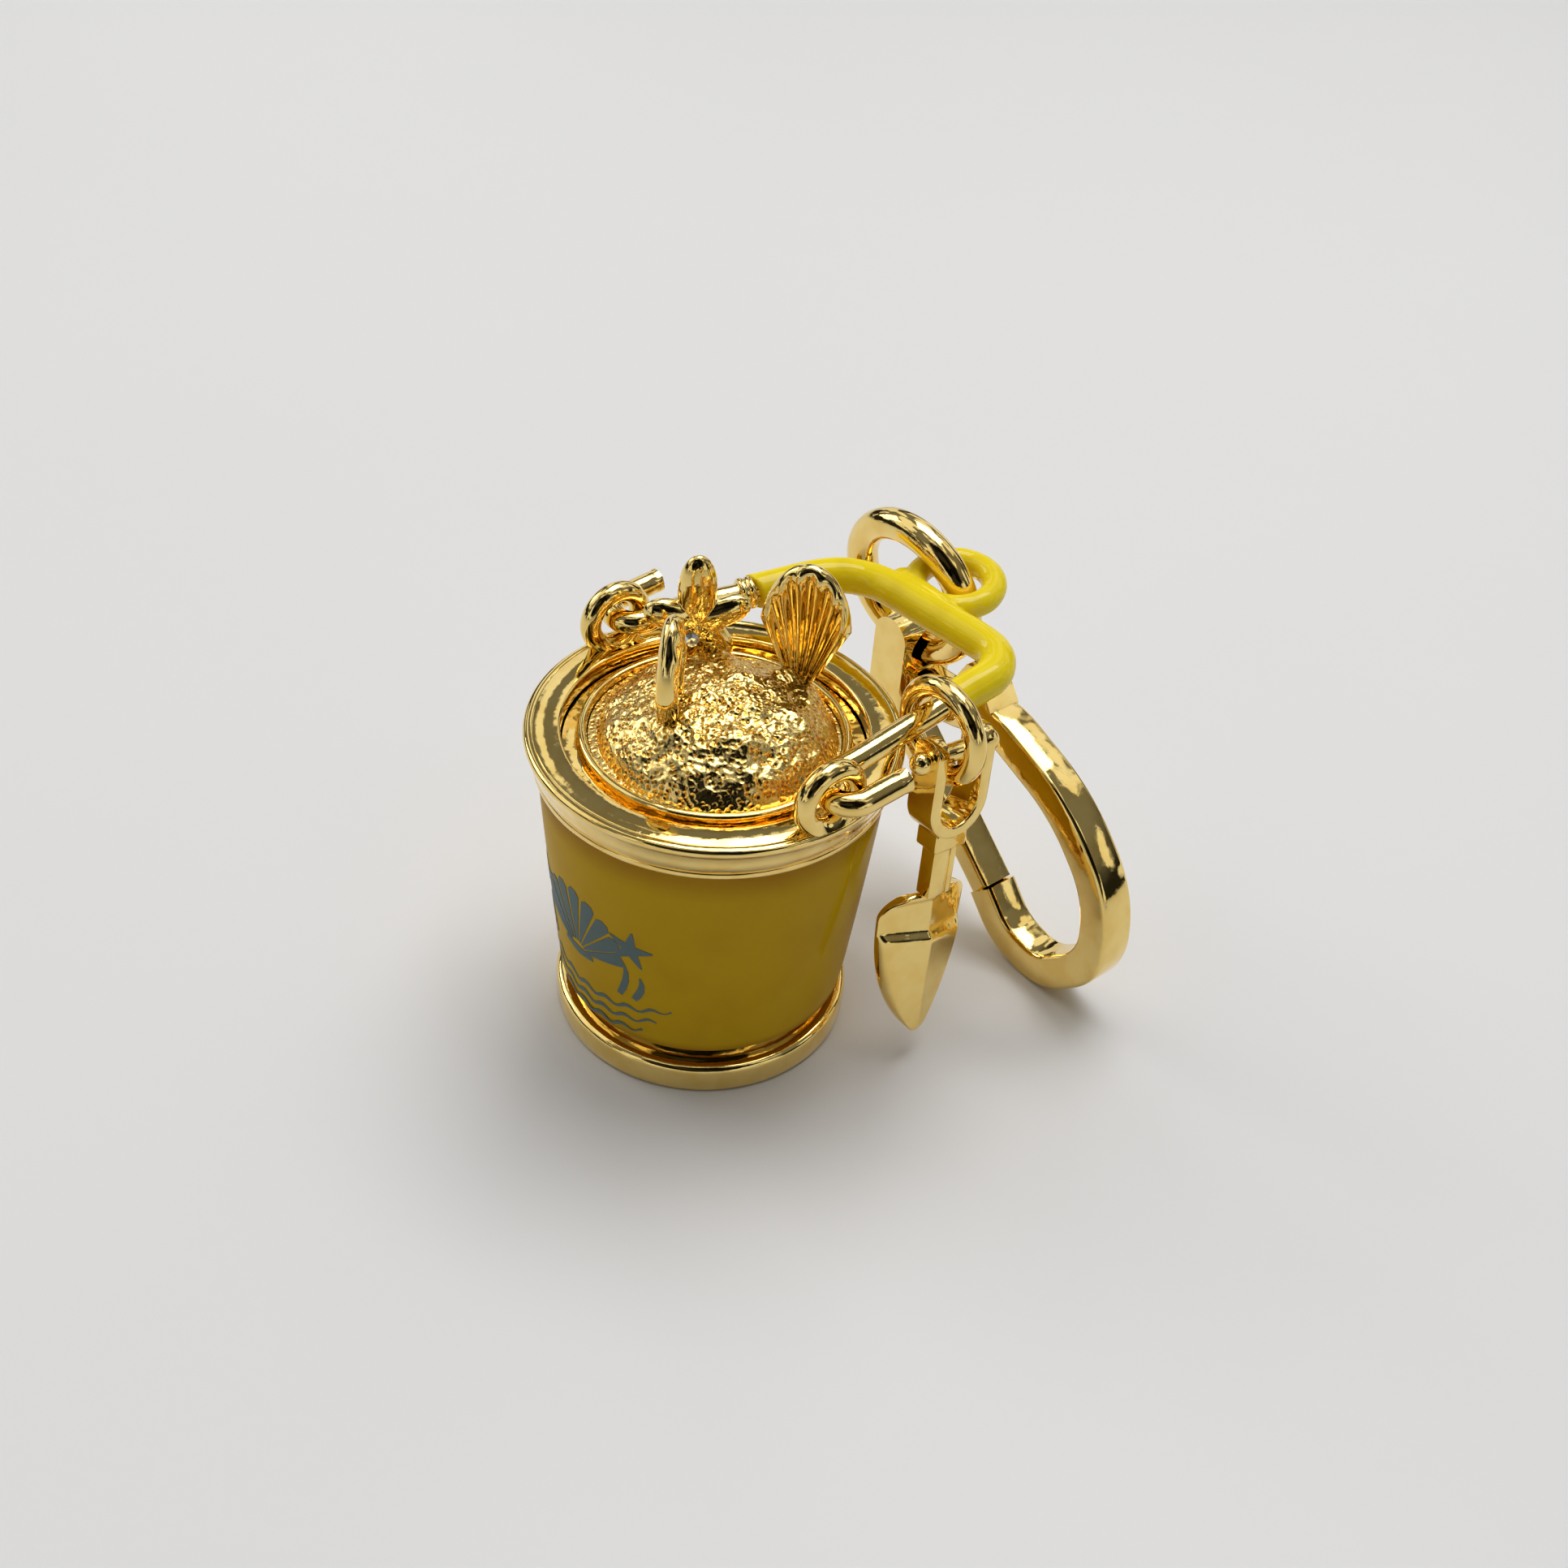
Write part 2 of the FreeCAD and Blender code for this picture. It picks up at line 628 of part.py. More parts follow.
turns = 3
coil = Part.makeHelix(size("spring_width") / turns, size("spring_width"), coil_radius)
coil_start = Vector(coil_radius, 0, 0)
coil_solid = Part.Wire(coil.Edges).makePipeShell(
    [round_section(coil_start, Vector(0, 1, 0), size("spring_wire_radius"))], True, True
)
coil_place = Placement(
    CLIP.Base + pivot - Vector(0, -size("spring_width") / 2, 0), Rotation(Vector(1, 0, 0), 90)
)
shape_part("gate_spring", coil_solid, coil_place)

# ---- spade ring ------------------------------------------------------------

# The ring hangs on the near arm, just outside the rim: its centre is out and below the
# arm by what the two wires leave, and it is as far back as keeps its inner side clear.
# ARM_OUT and ARM_UP lead there from the start of the enamel and from the pivot axis.
ARM_OUT, ARM_UP = 0.12, 0.7
ring_radius, ring_wire = size("spade_ring_radius"), size("spade_wire_radius")
hang = ring_radius - ring_wire - wire - size("spade_ring_play")
lean = math.radians(size("spade_ring_lean"))
arm_x, arm_z = near_start.x + ARM_OUT, PIVOT.z + ARM_UP
ring_x = arm_x + hang * math.cos(lean)
ring_z = arm_z - hang * math.sin(lean)
reach_in = math.sqrt(ring_radius**2 - (ring_z - size("pail_height")) ** 2)
ring_y = math.sqrt((size("rim_radius") + size("rim_to_spade_ring")) ** 2 - (ring_x - reach_in) ** 2)
SPADE_RING_CENTRE = Vector(ring_x, ring_y, ring_z)
ring_part(
    "spade_ring",
    "spade_ring_radius",
    "spade_wire_radius",
    Placement(SPADE_RING_CENTRE, Rotation(Vector(1, 0, 0), 90)),
)

# ---- spade -----------------------------------------------------------------
# Local frame: origin at the cross pin, Z up the shaft, X out of the blade's front,
# Y along the pin.

SPADE = Placement(
    SPADE_RING_CENTRE + Vector(0.6, 0.5, -1.18),
    Rotation(Vector(0, 1, 0), -5.0) * Rotation(Vector(1, 0, 0), -5.5),
)
inner = size("grip_gap") / 2
outer = inner + size("grip_cheek")
drop, overrun, grip_half = size("grip_drop"), size("grip_overrun"), size("grip_width") / 2


def bow(radius):
    """A U-shaped face, open at the top, in the plane of the grip."""
    left, right = Vector(-grip_half, -radius, -drop), Vector(-grip_half, radius, -drop)
    up = Vector(0, 0, drop + overrun)
    return Part.Face(
        Part.Wire(
            [
                Part.LineSegment(left + up, left).toShape(),
                Part.Arc(left, Vector(-grip_half, 0, -drop - radius), right).toShape(),
                Part.LineSegment(right, right + up).toShape(),
                Part.LineSegment(right + up, left + up).toShape(),
            ]
        )
    ).extrude(Vector(2 * grip_half, 0, 0))


socket_top = -drop - outer
socket_low = socket_top - size("socket_length")
socket = Part.makeBox(
    size("shaft_depth") + 0.6, size("shaft_width") + 0.6, size("socket_length") + 0.5,
    Vector(-size("shaft_depth") / 2 - 0.3, -size("shaft_width") / 2 - 0.3, socket_low),
)
cross_pin = Part.makeCylinder(
    size("grip_pin_radius"), 2 * outer, Vector(0, -outer, 0), Vector(0, 1, 0)
)
crown_axis = Vector(0, -outer - 1, overrun - grip_half)
crown = Part.makeCylinder(grip_half, 2 * outer + 2, crown_axis, Vector(0, 1, 0))
crown = crown.fuse(
    Part.makeBox(2 * grip_half, 2 * outer + 2, 20, crown_axis - Vector(grip_half, 0, 20))
)
grip = bow(outer).fuse(socket).cut(bow(inner)).common(crown).cut(cross_pin).removeSplitter()
shape_part("spade_grip", grip, SPADE)
balls = [Part.makeSphere(size("grip_ball_radius"), Vector(0, side * (outer + 0.35), 0)) for side in (-1, 1)]
pin_shape = cross_pin.fuse(balls).cut(grip).removeSplitter()
shape_part("grip_pin", pin_shape, SPADE)

shaft_low = socket_low - size("shaft_length")
shaft = Part.makeBox(
    size("shaft_depth"), size("shaft_width"), size("shaft_length"),
    Vector(-size("shaft_depth") / 2, -size("shaft_width") / 2, shaft_low),
)
shaft = shaft.makeChamfer(0.2, [e for e in shaft.Edges if abs(e.Vertexes[0].X - e.Vertexes[1].X) < 1e-6
                                and abs(e.Vertexes[0].Y - e.Vertexes[1].Y) < 1e-6])
shape_part("spade_shaft", shaft, SPADE)

wide, long = size("blade_width") / 2, size("blade_length")
leaf = Part.Wire(
    [
        Part.LineSegment(Vector(-3, -0.9, shaft_low), Vector(-3, 0.9, shaft_low)).toShape(),
        Part.Arc(
            Vector(-3, 0.9, shaft_low),
            Vector(-3, 0.8 * wide, shaft_low - 0.35),
            Vector(-3, wide, shaft_low - 1.3),
        ).toShape(),
        Part.Arc(
            Vector(-3, wide, shaft_low - 1.3),
            Vector(-3, 0.75 * wide, shaft_low - 0.62 * long),
            Vector(-3, 0, shaft_low - long),
        ).toShape(),
        Part.Arc(
            Vector(-3, 0, shaft_low - long),
            Vector(-3, -0.75 * wide, shaft_low - 0.62 * long),
            Vector(-3, -wide, shaft_low - 1.3),
        ).toShape(),
        Part.Arc(
            Vector(-3, -wide, shaft_low - 1.3),
            Vector(-3, -0.8 * wide, shaft_low - 0.35),
            Vector(-3, -0.9, shaft_low),
        ).toShape(),
    ]
)
leaf = Part.Face(leaf).extrude(Vector(6, 0, 0))
crease, thick = size("blade_crease"), size("blade_thickness")
front = shaft_low - long - 1
fold = extruded(
    [
        Vector(0.5, 0, front),
        Vector(0.5 - crease, wide + 0.5, front),
        Vector(0.5 - crease - thick, wide + 0.5, front),
        Vector(0.5 - thick, 0, front),
        Vector(0.5 - crease - thick, -wide - 0.5, front),
        Vector(0.5 - crease, -wide - 0.5, front),
    ],
    Vector(0, 0, long + 2),
)
shape_part("spade_blade", leaf.common(fold), SPADE)

# ---- checks and export -----------------------------------------------------

doc.removeObject(probe.Name)
doc.recompute()
for item in doc.Objects:
    if "Invalid" in item.State or "Error" in item.State:
        raise RuntimeError(f"{item.Label} failed: {item.State}")
for part in parts:
    if part.Shape.isNull() or not part.Shape.isValid():
        raise RuntimeError(f"{part.Label} has no valid shape")
    if not part.Shape.Solids or part.Shape.Volume <= 0:
        raise RuntimeError(f"{part.Label} holds no solid")

os.makedirs("parts", exist_ok=True)
for part in parts:
    part.Shape.exportStep(f"parts/{part.Label}.step")
    print(f"{part.Label}: {len(part.Shape.Solids)} solid, {part.Shape.Volume:.2f} mm3")
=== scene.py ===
"""Looks of a beach-pail charm: pail, sand garden, bail, clip and spade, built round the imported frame.

Sizes are in millimetres in the classes below and are turned into metres as each mesh is made.
The frame is the part's own: +Z up, origin at the centre of the pail's base, X along the bail's
pivot axis, the bail folded back towards +Y.
"""

import logging
import math
from dataclasses import dataclass, field
from enum import Enum
from typing import Callable, Iterable, Sequence

import bpy
from mathutils import Matrix, Quaternion, Vector, noise

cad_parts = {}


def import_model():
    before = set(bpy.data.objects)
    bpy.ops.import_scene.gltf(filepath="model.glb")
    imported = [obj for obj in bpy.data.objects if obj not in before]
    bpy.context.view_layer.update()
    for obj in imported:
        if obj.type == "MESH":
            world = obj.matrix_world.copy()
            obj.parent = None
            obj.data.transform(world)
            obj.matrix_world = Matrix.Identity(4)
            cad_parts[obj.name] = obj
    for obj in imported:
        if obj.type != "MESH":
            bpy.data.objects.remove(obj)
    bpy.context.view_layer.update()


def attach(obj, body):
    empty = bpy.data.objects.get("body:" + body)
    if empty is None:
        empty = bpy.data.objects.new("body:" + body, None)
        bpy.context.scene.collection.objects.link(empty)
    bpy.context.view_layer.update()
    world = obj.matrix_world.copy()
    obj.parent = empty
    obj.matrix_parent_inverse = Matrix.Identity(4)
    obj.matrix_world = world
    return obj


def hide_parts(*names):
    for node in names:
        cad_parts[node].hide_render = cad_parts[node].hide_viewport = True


MM = 0.001
LOG = logging.getLogger("beach_pail_charm")
Pair = tuple[float, float]
Triple = tuple[float, float, float]

# Sizes that the clip and its gate share: the plane they lie in, their width, and the pin's place.
CLIP_PLANE, CLIP_WIDTH, PIN_X, PIN_Z = 17.25, 2.2, -3.4, 11.2
# A length that is sure to pass right through any piece.
THROUGH = 6


# ---- shader maths and finishes ------------------------------------------------------------


class Signal:
    """A number inside a material: a socket that takes part in Python expressions."""

    def __init__(self, maker: "MaterialMaker", socket: bpy.types.NodeSocket) -> None:
        """Wrap a socket of the material that maker is making."""
        self.maker = maker
        self.socket = socket

    def _maths(self, operation: str, *values: "Signal | float") -> "Signal":
        """Add one Math node.

        Args:
            operation: The Math node's operation.
            values: Its inputs in order, signals or plain numbers.

        Returns:
            The node's result.
        """
        inputs = dict(enumerate(values))
        return self.maker.node("ShaderNodeMath", {"operation": operation}, inputs).out("Value")

    def __add__(self, other: "Signal | float") -> "Signal":
        """Sum."""
        return self._maths("ADD", self, other)

    def __mul__(self, other: "Signal | float") -> "Signal":
        """Product."""
        return self._maths("MULTIPLY", self, other)

    def __sub__(self, other: "Signal | float") -> "Signal":
        """Difference."""
        return self._maths("SUBTRACT", self, other)

    def __rsub__(self, other: float) -> "Signal":
        """Difference with the number first, as in 1 - mask."""
        return self._maths("SUBTRACT", other, self)

    def clamped(self) -> "Signal":
        """The value kept between 0 and 1."""
        node = self.maker.node("ShaderNodeClamp", {}, {"Value": self})
        return node.out("Result")

    def ramp(self, low: float, high: float) -> "Signal":
        """0 below low, 1 above high and a smooth rise between."""
        node = self.maker.node(
            "ShaderNodeMapRange",
            {"interpolation_type": "SMOOTHSTEP"},
            {"Value": self, "From Min": low, "From Max": high},
        )
        return node.out("Result")


@dataclass
class MadeNode:
    """A node with a short way to its outputs."""

    maker: "MaterialMaker"
    node: bpy.types.ShaderNode

    def out(self, name: str) -> Signal:
        """One of the node's outputs."""
        return Signal(self.maker, self.node.outputs[name])


class MaterialMaker:
    """Makes one material's nodes."""

    def __init__(self, name: str) -> None:
        """Start a material with no nodes but its output."""
        self.material = bpy.data.materials.new(name)
        self.material.use_nodes = True
        self.tree = self.material.node_tree
        self.tree.nodes.clear()

    def node(self, kind: str, settings: dict, inputs: dict) -> MadeNode:
        """Add any node.

        Args:
            kind: The node's type.
            settings: Its properties.
            inputs: Its sockets' values or signals, by name or number.

        Returns:
            The new node.
        """
        made = self.tree.nodes.new(kind)
        for name, value in settings.items():
            setattr(made, name, value)
        for name, value in inputs.items():
            socket = made.inputs[name]
            if isinstance(value, Signal):
                self.tree.links.new(value.socket, socket)
            else:
                socket.default_value = value
        return MadeNode(self, made)

    def place(self) -> Signal:
        """The point's place on the object, in metres."""
        return self.node("ShaderNodeTexCoord", {}, {}).out("Object")

    def axes(self) -> tuple[Signal, Signal, Signal]:
        """The point's X, Y and Z on the object, in metres."""
        split = self.node("ShaderNodeSeparateXYZ", {}, {"Vector": self.place()})
        return split.out("X"), split.out("Y"), split.out("Z")

    def noise(self, grain_mm: float, detail: float = 3.0, roughness: float = 0.5) -> Signal:
        """Smooth random variation with grains of about the given size."""
        inputs = {
            "Vector": self.place(),
            "Scale": 1.0 / (grain_mm * MM),
            "Detail": detail,
            "Roughness": roughness,
        }
        return self.node("ShaderNodeTexNoise", {}, inputs).out("Fac")

    def cells(self, grain_mm: float) -> Signal:
        """Distance to the nearest of randomly placed points, in grains."""
        inputs = {"Vector": self.place(), "Scale": 1.0 / (grain_mm * MM)}
        return self.node("ShaderNodeTexVoronoi", {}, inputs).out("Distance")

    def blend(self, amount: Signal | float, first: Sequence[float], second: Sequence[float]) -> Signal:
        """A colour between two colours."""
        node = self.node(
            "ShaderNodeMix",
            {"data_type": "RGBA"},
            {0: amount, 6: (*first, 1.0), 7: (*second, 1.0)},
        )
        return Signal(self, node.node.outputs[2])

    def bump(self, height: Signal, depth_mm: float, strength: float = 1.0) -> Signal:
        """A surface relief of the given depth."""
        inputs = {"Height": height, "Distance": depth_mm * MM, "Strength": strength}
        return self.node("ShaderNodeBump", {}, inputs).out("Normal")

    def finish(self, **sockets: "Signal | float | Sequence[float]") -> bpy.types.Material:
        """Close the material with a Principled shader.

        Args:
            sockets: The shader's sockets, with underscores for the blanks in their names.

        Returns:
            The finished material.
        """
        inputs = {name.replace("_", " "): value for name, value in sockets.items()}
        shader = self.node("ShaderNodeBsdfPrincipled", {}, inputs)
        self.node("ShaderNodeOutputMaterial", {}, {"Surface": shader.out("BSDF")})
        return self.material


@dataclass(frozen=True)
class PolishedGold:
    """Bright gold plating with faint hand-polishing marks."""

    name: str = "gold_plate"
    bright: Triple = (0.93, 0.70, 0.25)
    deep: Triple = (0.87, 0.61, 0.18)
    smoothness: float = 0.025

    def make(self) -> bpy.types.Material:
        """The material."""
        maker = MaterialMaker(self.name)
        cloud = maker.noise(1.4, 2.0)
        fine = maker.noise(0.16, 4.0, 0.6)
        wave = maker.bump(cloud * 0.94 + fine * 0.06, 0.05, 0.8)
        return maker.finish(
            Base_Color=maker.blend(cloud.ramp(0.35, 0.75), self.bright, self.deep),
            Metallic=1.0,
            Roughness=cloud * 0.03 + fine * 0.02 + self.smoothness,
            Normal=wave,
        )


@dataclass(frozen=True)
class CastSand:
    """Gold-plated grains of sand."""

    name: str = "cast_sand"
    bright: Triple = (0.92, 0.68, 0.24)
    # deep: the painted shade colour of the pits, also a random darker tone
    deep: Triple = (0.62, 0.30, 0.035)
    grain: float = 0.30

    def make(self) -> bpy.types.Material:
        """The material: the deep colour in the pits is painted shade, and the grit adds random tone."""
        maker = MaterialMaker(self.name)
        pits = maker.cells(self.grain)
        grit = maker.noise(0.2, 5.0, 0.65)
        relief = pits.ramp(0.1, 0.65) * 0.65 + grit * 0.35
        return maker.finish(
            # the deep colour goes into the pits as painted shade; the grit share is random tone
            Base_Color=maker.blend(relief.ramp(0.25, 0.75), self.deep, self.bright),
            Metallic=1.0,
            Roughness=grit * 0.06 + 0.05,
            Normal=maker.bump(relief, 0.07, 0.7),
        )


@dataclass(frozen=True)
class ClearEnamel:
    """Olive-yellow see-through enamel poured over the metal wall."""

    name: str = "amber_enamel"
    body: Triple = (0.52, 0.315, 0.004)
    # thick: the painted shade colour under the rim and over the groove
    thick: Triple = (0.36, 0.17, 0.002)
    low: float = 2.9
    high: float = 16.85

    def make(self) -> bpy.types.Material:
        """The material: painted shade darkens it under the rim and along its lower edge over the groove, and
        a cloud adds random tone.
        """
        maker = MaterialMaker(self.name)
        _, _, height = maker.axes()
        cloud = maker.noise(4.0, 2.0)
        ripple = maker.noise(1.1, 2.0)
        under_rim = height.ramp((self.high - 2.2) * MM, self.high * MM)
        over_groove = 1 - height.ramp(self.low * MM, (self.low + 0.7) * MM)
        # painted shade under the rim and over the groove, plus random cloud tone
        shade_and_tone = (under_rim * 0.8 + over_groove * 0.8 + cloud.ramp(0.4, 0.8) * 0.25).clamped()
        return maker.finish(
            Base_Color=maker.blend(shade_and_tone, self.body, self.thick),
            Roughness=cloud * 0.08 + 0.30,
            Normal=maker.bump(ripple, 0.03, 0.35),
            Specular_IOR_Level=0.0,
            Coat_Weight=0.22,
            Coat_Roughness=0.03,
            Coat_IOR=1.45,
        )


@dataclass(frozen=True)
class YellowEnamel:
    """Thick opaque yellow enamel with a few pinholes."""

    name: str = "poured_yellow"
    body: Triple = (0.90, 0.70, 0.012)
    pinhole_shade_and_tone: Triple = (0.72, 0.50, 0.004)

    def make(self) -> bpy.types.Material:
        """The material: the pinholes take the darker colour as painted shade in the dents, and a cloud adds
        random tone.
        """
        maker = MaterialMaker(self.name)
        cloud = maker.noise(1.6, 2.0)
        hole = maker.cells(2.3)
        pin = 1 - hole.ramp(0.02, 0.07)
        relief = cloud * 0.7 - pin * 0.6
        return maker.finish(
            # the darker colour is painted shade in the pinhole dents, plus random cloud tone
            Base_Color=maker.blend(
                (cloud.ramp(0.45, 0.8) * 0.35 + pin * 0.5).clamped(), self.body, self.pinhole_shade_and_tone
            ),
            Roughness=cloud * 0.06 + 0.22,
            Normal=maker.bump(relief, 0.05, 0.6),
            Specular_IOR_Level=0.0,
            Coat_Weight=0.6,
            Coat_Roughness=0.03,
        )


@dataclass(frozen=True)
class PrintedInk:
    """Grey-blue ink of the printed motif."""

    name: str = "grey_blue_ink"
    body: Triple = (0.115, 0.165, 0.165)
    worn: Triple = (0.20, 0.18, 0.07)

    def make(self) -> bpy.types.Material:
        """The material: slightly worn, so that the enamel shows through in places."""
        maker = MaterialMaker(self.name)
        wear = maker.noise(0.35, 4.0, 0.7)
        return maker.finish(
            Base_Color=maker.blend(wear.ramp(0.55, 0.75), self.body, self.worn),
            Roughness=wear * 0.2 + 0.4,
            Normal=maker.bump(wear, 0.01, 0.5),
            Specular_IOR_Level=0.0,
            Coat_Weight=0.2,
            Coat_Roughness=0.08,
        )


@dataclass(frozen=True)
class CutStone:
    """A clear cut stone with a foil back."""

    name: str = "cut_stone"
    body: Triple = (0.88, 0.92, 0.98)
    shade: Triple = (0.55, 0.60, 0.68)

    def make(self) -> bpy.types.Material:
        """The material."""
        maker = MaterialMaker(self.name)
        glint = maker.noise(0.3, 1.0)
        return maker.finish(
            Base_Color=maker.blend(glint.ramp(0.4, 0.6), self.body, self.shade),
            Metallic=0.65,
            Roughness=glint * 0.05 + 0.03,
            Normal=maker.bump(glint, 0.01, 0.2),
            Coat_Weight=1.0,
        )


@dataclass(frozen=True)
class SpringSteel:
    """Drawn steel wire."""

    name: str = "drawn_steel"
    body: Triple = (0.55, 0.55, 0.56)
    worn: Triple = (0.38, 0.37, 0.36)

    def make(self) -> bpy.types.Material:
        """The material."""
        maker = MaterialMaker(self.name)
        draw = maker.noise(0.2, 3.0)
        return maker.finish(
            Base_Color=maker.blend(draw, self.body, self.worn),
            Metallic=1.0,
            Roughness=draw * 0.1 + 0.25,
            Normal=maker.bump(draw, 0.01, 0.3),
        )


@dataclass(frozen=True)
class PaleSheet:
    """The plain pale sheet that the charm stands on."""

    name: str = "pale_sheet"
    body: Triple = (0.80, 0.795, 0.79)
    shade: Triple = (0.775, 0.77, 0.765)

    def make(self) -> bpy.types.Material:
        """The material."""
        maker = MaterialMaker(self.name)
        cloud = maker.noise(60.0, 2.0)
        return maker.finish(
            Base_Color=maker.blend(cloud, self.body, self.shade),
            Roughness=cloud * 0.05 + 0.5,
            Normal=maker.bump(maker.noise(0.6, 3.0), 0.01, 0.1),
        )


class Finish(Enum):
    """The finishes of this object, each with the record's material slot it belongs to."""

    GOLD = (PolishedGold, "polished_gold")
    SAND = (CastSand, "sand_gold")
    OLIVE = (ClearEnamel, "olive_enamel")
    YELLOW = (YellowEnamel, "yellow_enamel")
    INK = (PrintedInk, "olive_enamel")
    STONE = (CutStone, "crystal")
    STEEL = (SpringSteel, "spring_steel")
    SHEET = (PaleSheet, "")

    def material(self) -> bpy.types.Material:
        """The finish's material, made the first time it is asked for."""
        kind, _ = self.value
        if self not in MADE:
            MADE[self] = kind().make()
        return MADE[self]


MADE: dict[Finish, bpy.types.Material] = {}


# ---- the workbench -------------------------------------------------------------------------


class Bench:
    """Modelling steps that every piece shares."""

    @staticmethod
    def clear() -> None:
        """Leave object mode and select nothing."""
        if bpy.context.object and bpy.context.object.mode != "OBJECT":
            bpy.ops.object.mode_set(mode="OBJECT")
        bpy.ops.object.select_all(action="DESELECT")

    @staticmethod
    def take(piece: bpy.types.Object) -> None:
        """Make a piece the only one selected."""
        Bench.clear()
        piece.select_set(True)
        bpy.context.view_layer.objects.active = piece

    @staticmethod
    def settle(piece: bpy.types.Object, name: str) -> bpy.types.Object:
        """Name a piece and put its place into its mesh."""
        Bench.take(piece)
        bpy.ops.object.transform_apply(location=True, rotation=True, scale=True)
        piece.name = name
        piece.data.name = name
        return piece

    @staticmethod
    def modify(piece: bpy.types.Object, kind: str, **settings: object) -> None:
        """Add a modifier with the given settings and apply it."""
        Bench.take(piece)
        modifier = piece.modifiers.new(kind.lower(), kind)
        for name, value in settings.items():
            setattr(modifier, name, value)
        bpy.ops.object.modifier_apply(modifier=modifier.name)

    @staticmethod
    def bevel(piece: bpy.types.Object, width_mm: float, segments: int = 3, angle: float = 35.0) -> None:
        """Round the edges sharper than an angle."""
        Bench.modify(
            piece,
            "BEVEL",
            width=width_mm * MM,
            segments=segments,
            limit_method="ANGLE",
            angle_limit=math.radians(angle),
            use_clamp_overlap=True,
        )

    @staticmethod
    def smooth(piece: bpy.types.Object, angle: float = 32.0) -> None:
        """Shade a piece smooth, apart from edges sharper than an angle."""
        Bench.take(piece)
        bpy.ops.object.shade_smooth_by_angle(angle=math.radians(angle))

    @staticmethod
    def outward(piece: bpy.types.Object, merge_mm: float = 0.002) -> None:
        """Merge doubled points and turn every face outwards."""
        Bench.take(piece)
        bpy.ops.object.mode_set(mode="EDIT")
        bpy.ops.mesh.select_all(action="SELECT")
        bpy.ops.mesh.remove_doubles(threshold=merge_mm * MM)
        bpy.ops.mesh.normals_make_consistent(inside=False)
        bpy.ops.object.mode_set(mode="OBJECT")

    @staticmethod
    def close(piece: bpy.types.Object) -> None:
        """Fill every open end of a piece with a face."""
        Bench.take(piece)
        bpy.ops.object.mode_set(mode="EDIT")
        bpy.ops.mesh.select_all(action="SELECT")
        bpy.ops.mesh.fill_holes(sides=0)
        bpy.ops.object.mode_set(mode="OBJECT")

    @staticmethod
    def trim(piece: bpy.types.Object, at: Vector, keep: Vector, chosen: Callable[[Vector], bool]) -> None:
        """Cut the chosen part of a piece with a plane, and close the cut.

        Args:
            piece: The piece to cut.
            at: A point of the plane, in millimetres.
            keep: The plane's normal, on the side that stays.
            chosen: Whether a point, in millimetres, is in the part that is cut.
        """
        Bench.take(piece)
        bpy.ops.object.mode_set(mode="EDIT")
        bpy.ops.mesh.select_all(action="DESELECT")
        bpy.ops.object.mode_set(mode="OBJECT")
        for face in piece.data.polygons:
            face.select = chosen(face.center / MM)
        bpy.ops.object.mode_set(mode="EDIT")
        bpy.ops.mesh.bisect(plane_co=at * MM, plane_no=keep, clear_inner=True)
        bpy.ops.object.mode_set(mode="OBJECT")
        Bench.close(piece)

    @staticmethod
    def join(name: str, pieces: Sequence[bpy.types.Object]) -> bpy.types.Object:
        """Make several meshes one piece."""
        Bench.take(pieces[0])
        for piece in pieces:
            piece.select_set(True)
        bpy.ops.object.join()
        return Bench.settle(bpy.context.object, name)

    @staticmethod
    def combine(piece: bpy.types.Object, tool: bpy.types.Object, operation: str) -> None:
        """Add, cut or intersect a piece with a tool, which is then thrown away."""
        Bench.modify(piece, "BOOLEAN", object=tool, operation=operation, solver="EXACT")
        bpy.data.objects.remove(tool, do_unlink=True)

    @staticmethod
    def turned(name: str, outline: Sequence[Pair], steps: int = 160) -> bpy.types.Object:
        """Turn an outline about Z.

        Args:
            name: The piece's name.
            outline: (radius, height) points in millimetres, open or closed by its last point.
            steps: How many steps the full turn has.

        Returns:
            The turned piece.
        """
        Bench.clear()
        start = outline[0]
        bpy.ops.mesh.primitive_plane_add(size=MM)
        bpy.ops.object.mode_set(mode="EDIT")
        bpy.ops.mesh.select_all(action="SELECT")
        bpy.ops.mesh.merge(type="CENTER")
        bpy.ops.transform.translate(value=(start[0] * MM, 0, start[1] * MM))
        for (r0, z0), (r1, z1) in zip(outline, outline[1:]):
            step = ((r1 - r0) * MM, 0, (z1 - z0) * MM)
            bpy.ops.mesh.extrude_region_move(TRANSFORM_OT_translate={"value": step})
        bpy.ops.mesh.select_all(action="SELECT")
        bpy.ops.mesh.spin(steps=steps, angle=2 * math.pi, center=(0, 0, 0), axis=(0, 0, 1))
        bpy.ops.object.mode_set(mode="OBJECT")
        piece = Bench.settle(bpy.context.object, name)
        Bench.outward(piece)
        return piece

    @staticmethod
    def cylinder(
        name: str, centre: Vector, along: Vector, radius: float, length: float, sides: int = 48
    ) -> bpy.types.Object:
        """A round bar in millimetres, about its middle."""
        Bench.clear()
        bpy.ops.mesh.primitive_cylinder_add(
            vertices=sides,
            radius=radius * MM,
            depth=length * MM,
            location=centre * MM,
            rotation=along.to_track_quat("Z", "Y").to_euler(),
        )
        return Bench.settle(bpy.context.object, name)

    @staticmethod
    def block(name: str, low: Triple, high: Triple) -> bpy.types.Object:
        """A rectangular block between two corners, in millimetres."""
        Bench.clear()
        middle = [(a + b) / 2 * MM for a, b in zip(low, high)]
        bpy.ops.mesh.primitive_cube_add(size=1, location=middle)
        bpy.context.object.scale = [(b - a) * MM for a, b in zip(low, high)]
        return Bench.settle(bpy.context.object, name)

